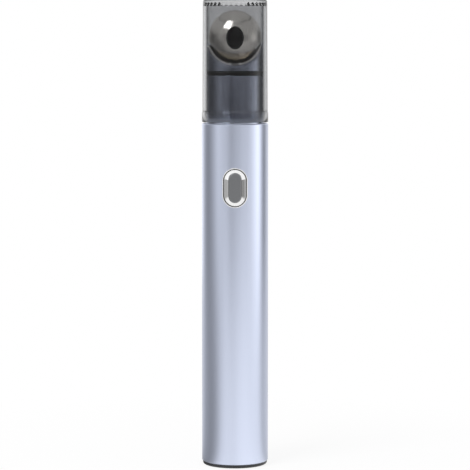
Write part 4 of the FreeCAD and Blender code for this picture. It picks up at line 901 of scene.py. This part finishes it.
def make_floor(look):
    """A round pale floor. The camera sees it white with the object's shadow, fading to pure white
    at its rim, and metal sees on it painted light, a glow whose level changes with compass bearing."""
    rings = 24
    around = 96
    radius = np.linspace(0, look.floor_radius, rings)[:, None]
    angle = np.linspace(0, TURN, around, endpoint=False)
    points = np.stack([radius * np.cos(angle), radius * np.sin(angle), 0 * radius * angle], axis=-1)
    floor = mesh_piece("floor", points, grid_faces(rings, around), smooth=False)
    material, shader = surface("Floor", Base_Color=(0.8, 0.8, 0.8), Roughness=0.6)
    nodes = material.node_tree.nodes
    links = material.node_tree.links
    seen, path = seen_directly(nodes, links)
    place = nodes.new("ShaderNodeTexCoord")
    distance = nodes.new("ShaderNodeVectorMath")
    distance.operation = "LENGTH"
    links.new(place.outputs["Object"], distance.inputs[0])
    white_share = nodes.new("ShaderNodeMapRange")
    white_share.inputs["From Max"].default_value = WHITE_REACH
    white_share.inputs["To Min"].default_value = WHITE_LEAST
    links.new(distance.outputs["Value"], white_share.inputs["Value"])
    white = nodes.new("ShaderNodeEmission")
    shown = nodes.new("ShaderNodeMixShader")
    links.new(multiply(nodes, links, seen, white_share.outputs["Result"]), shown.inputs["Fac"])
    links.new(shader.outputs["BSDF"], shown.inputs[1])
    links.new(white.outputs["Emission"], shown.inputs[2])
    turn, _ = bearing(nodes, links, place.outputs["Object"])
    ramp = level_ramp(nodes, PAINTED_FLOOR_LIGHT, BRIGHTEST)
    links.new(turn, ramp.inputs["Fac"])
    # Painted light: for reflected rays the floor glows at a level read from its compass bearing.
    painted_floor_light = nodes.new("ShaderNodeEmission")
    painted_floor_light.inputs["Strength"].default_value = BRIGHTEST
    links.new(ramp.outputs["Color"], painted_floor_light.inputs["Color"])
    reflected = nodes.new("ShaderNodeMath")
    reflected.operation = "GREATER_THAN"
    reflected.inputs[1].default_value = 0.5
    links.new(path.outputs["Glossy Depth"], reflected.inputs[0])
    mixed = nodes.new("ShaderNodeMixShader")
    links.new(reflected.outputs["Value"], mixed.inputs["Fac"])
    links.new(shown.outputs["Shader"], mixed.inputs[1])
    links.new(painted_floor_light.outputs["Emission"], mixed.inputs[2])
    links.new(mixed.outputs["Shader"], nodes["Material Output"].inputs["Surface"])
    wear(floor, material)


def make_world(look):
    """White where the camera or clear plastic looks. Metal reflects a studio of strip lights at
    the sides between darker walls, with a pale ceiling. Matt surfaces get an even level."""
    world = bpy.data.worlds.new("studio")
    bpy.context.scene.world = world
    world.use_nodes = True
    nodes = world.node_tree.nodes
    links = world.node_tree.links
    seen, path = seen_directly(nodes, links)
    direction = nodes.new("ShaderNodeTexCoord")
    turn, rise = bearing(nodes, links, direction.outputs["Generated"])
    ramp = level_ramp(nodes, ROOM, BRIGHTEST)
    links.new(turn, ramp.inputs["Fac"])
    walls = multiply(nodes, links, ramp.outputs["Color"], BRIGHTEST)
    overhead = nodes.new("ShaderNodeMapRange")
    overhead.interpolation_type = "SMOOTHSTEP"
    overhead.inputs["From Min"].default_value = CEILING_FROM
    overhead.inputs["From Max"].default_value = CEILING_FULL
    links.new(rise, overhead.inputs["Value"])
    room = nodes.new("ShaderNodeMix")
    room.inputs["B"].default_value = 1.0
    links.new(overhead.outputs["Result"], room.inputs["Factor"])
    links.new(walls, room.inputs["A"])
    aim = nodes.new("ShaderNodeVectorMath")
    aim.operation = "DOT_PRODUCT"
    aim.inputs[1].default_value = KEY_LIGHT.normalized()
    links.new(direction.outputs["Generated"], aim.inputs[0])
    patch = nodes.new("ShaderNodeMapRange")
    patch.interpolation_type = "SMOOTHSTEP"
    patch.inputs["From Min"].default_value = np.cos(np.radians(PATCH_EDGE))
    patch.inputs["From Max"].default_value = np.cos(np.radians(PATCH_CORE))
    patch.inputs["To Max"].default_value = look.key_level
    links.new(aim.outputs["Value"], patch.inputs["Value"])
    with_key = nodes.new("ShaderNodeMath")
    with_key.operation = "ADD"
    links.new(room.outputs["Result"], with_key.inputs[0])
    links.new(patch.outputs["Result"], with_key.inputs[1])
    metal = nodes.new("ShaderNodeMath")
    metal.operation = "MINIMUM"
    metal.inputs[1].default_value = 1.0
    links.new(path.outputs["Glossy Depth"], metal.inputs[0])
    level = nodes.new("ShaderNodeMix")
    level.inputs["A"].default_value = look.diffuse
    links.new(metal.outputs["Value"], level.inputs["Factor"])
    links.new(with_key.outputs["Value"], level.inputs["B"])
    shown = nodes.new("ShaderNodeMix")
    shown.inputs["B"].default_value = 1.0
    links.new(seen, shown.inputs["Factor"])
    links.new(level.outputs["Result"], shown.inputs["A"])
    links.new(shown.outputs["Result"], nodes["Background"].inputs["Color"])


def make_stage(context):
    """Camera, floor and world, and a soft lamp that reflections don't show."""
    look = context.scene.otoscope_stage
    context.scene.view_settings.view_transform = "Standard"
    make_camera(look)
    make_floor(look)
    make_world(look)
    ball = Vector(BALL_CENTRE)
    lamp = area_lamp("high_key", ball + KEY_LIGHT * 0.6, ball, 0.25, 0.25, 2.5)
    lamp.visible_glossy = False


# ------------------------------------------------------------------ operators
class OTOSCOPE_OT_finishes(bpy.types.Operator):
    """Give every part its finish"""

    bl_idname = "otoscope.finishes"
    bl_label = "Finishes"

    def execute(self, context):
        dress(context)
        return {"FINISHED"}


class OTOSCOPE_OT_cap(bpy.types.Operator):
    """Make the clear cap with its fluted bevel and the dark strips of painted flute shade"""

    bl_idname = "otoscope.cap"
    bl_label = "Cap"

    def execute(self, context):
        make_cap(context)
        make_shade_fins(context)
        return {"FINISHED"}


class OTOSCOPE_OT_collar(bpy.types.Operator):
    """Make the ridged collar"""

    bl_idname = "otoscope.collar"
    bl_label = "Collar"

    def execute(self, context):
        make_collar(context)
        return {"FINISHED"}


class OTOSCOPE_OT_saddle(bpy.types.Operator):
    """Line the saddle under the ball"""

    bl_idname = "otoscope.saddle"
    bl_label = "Saddle liner"

    def execute(self, context):
        make_saddle(context)
        return {"FINISHED"}


class OTOSCOPE_OT_key(bpy.types.Operator):
    """Make the key's ring"""

    bl_idname = "otoscope.key"
    bl_label = "Key ring"

    def execute(self, context):
        make_key_ring(context)
        return {"FINISHED"}


class OTOSCOPE_OT_stage(bpy.types.Operator):
    """Set the camera, floor, lamp and world"""

    bl_idname = "otoscope.stage"
    bl_label = "Stage"

    def execute(self, context):
        make_stage(context)
        return {"FINISHED"}


class OTOSCOPE_PT_panel(bpy.types.Panel):
    """Lists the otoscope's operators"""

    bl_label = "Otoscope"
    bl_idname = "OTOSCOPE_PT_panel"
    bl_space_type = "VIEW_3D"
    bl_region_type = "UI"
    bl_category = "Otoscope"

    def draw(self, context):
        for operator in OPERATORS:
            self.layout.operator(operator.bl_idname)


SETTINGS = {
    "otoscope_barrel": BarrelSettings,
    "otoscope_cap": CapSettings,
    "otoscope_head": HeadSettings,
    "otoscope_key": KeySettings,
    "otoscope_ball": BallSettings,
    "otoscope_stage": StageSettings,
}
OPERATORS = (
    OTOSCOPE_OT_finishes,
    OTOSCOPE_OT_cap,
    OTOSCOPE_OT_collar,
    OTOSCOPE_OT_saddle,
    OTOSCOPE_OT_key,
    OTOSCOPE_OT_stage,
)


def register():
    """Adds the settings, operators and panel."""
    for cls in (*SETTINGS.values(), *OPERATORS, OTOSCOPE_PT_panel):
        bpy.utils.register_class(cls)
    for name, cls in SETTINGS.items():
        setattr(bpy.types.Scene, name, PointerProperty(type=cls))


def unregister():
    """Takes the settings, operators and panel away again."""
    for name in SETTINGS:
        delattr(bpy.types.Scene, name)
    for cls in reversed((*SETTINGS.values(), *OPERATORS, OTOSCOPE_PT_panel)):
        bpy.utils.unregister_class(cls)


def main():
    """Runs every operator in order."""
    register()
    for operator in OPERATORS:
        group, action = operator.bl_idname.split(".")
        getattr(getattr(bpy.ops, group), action)()


if __name__ == "__main__":
    main()
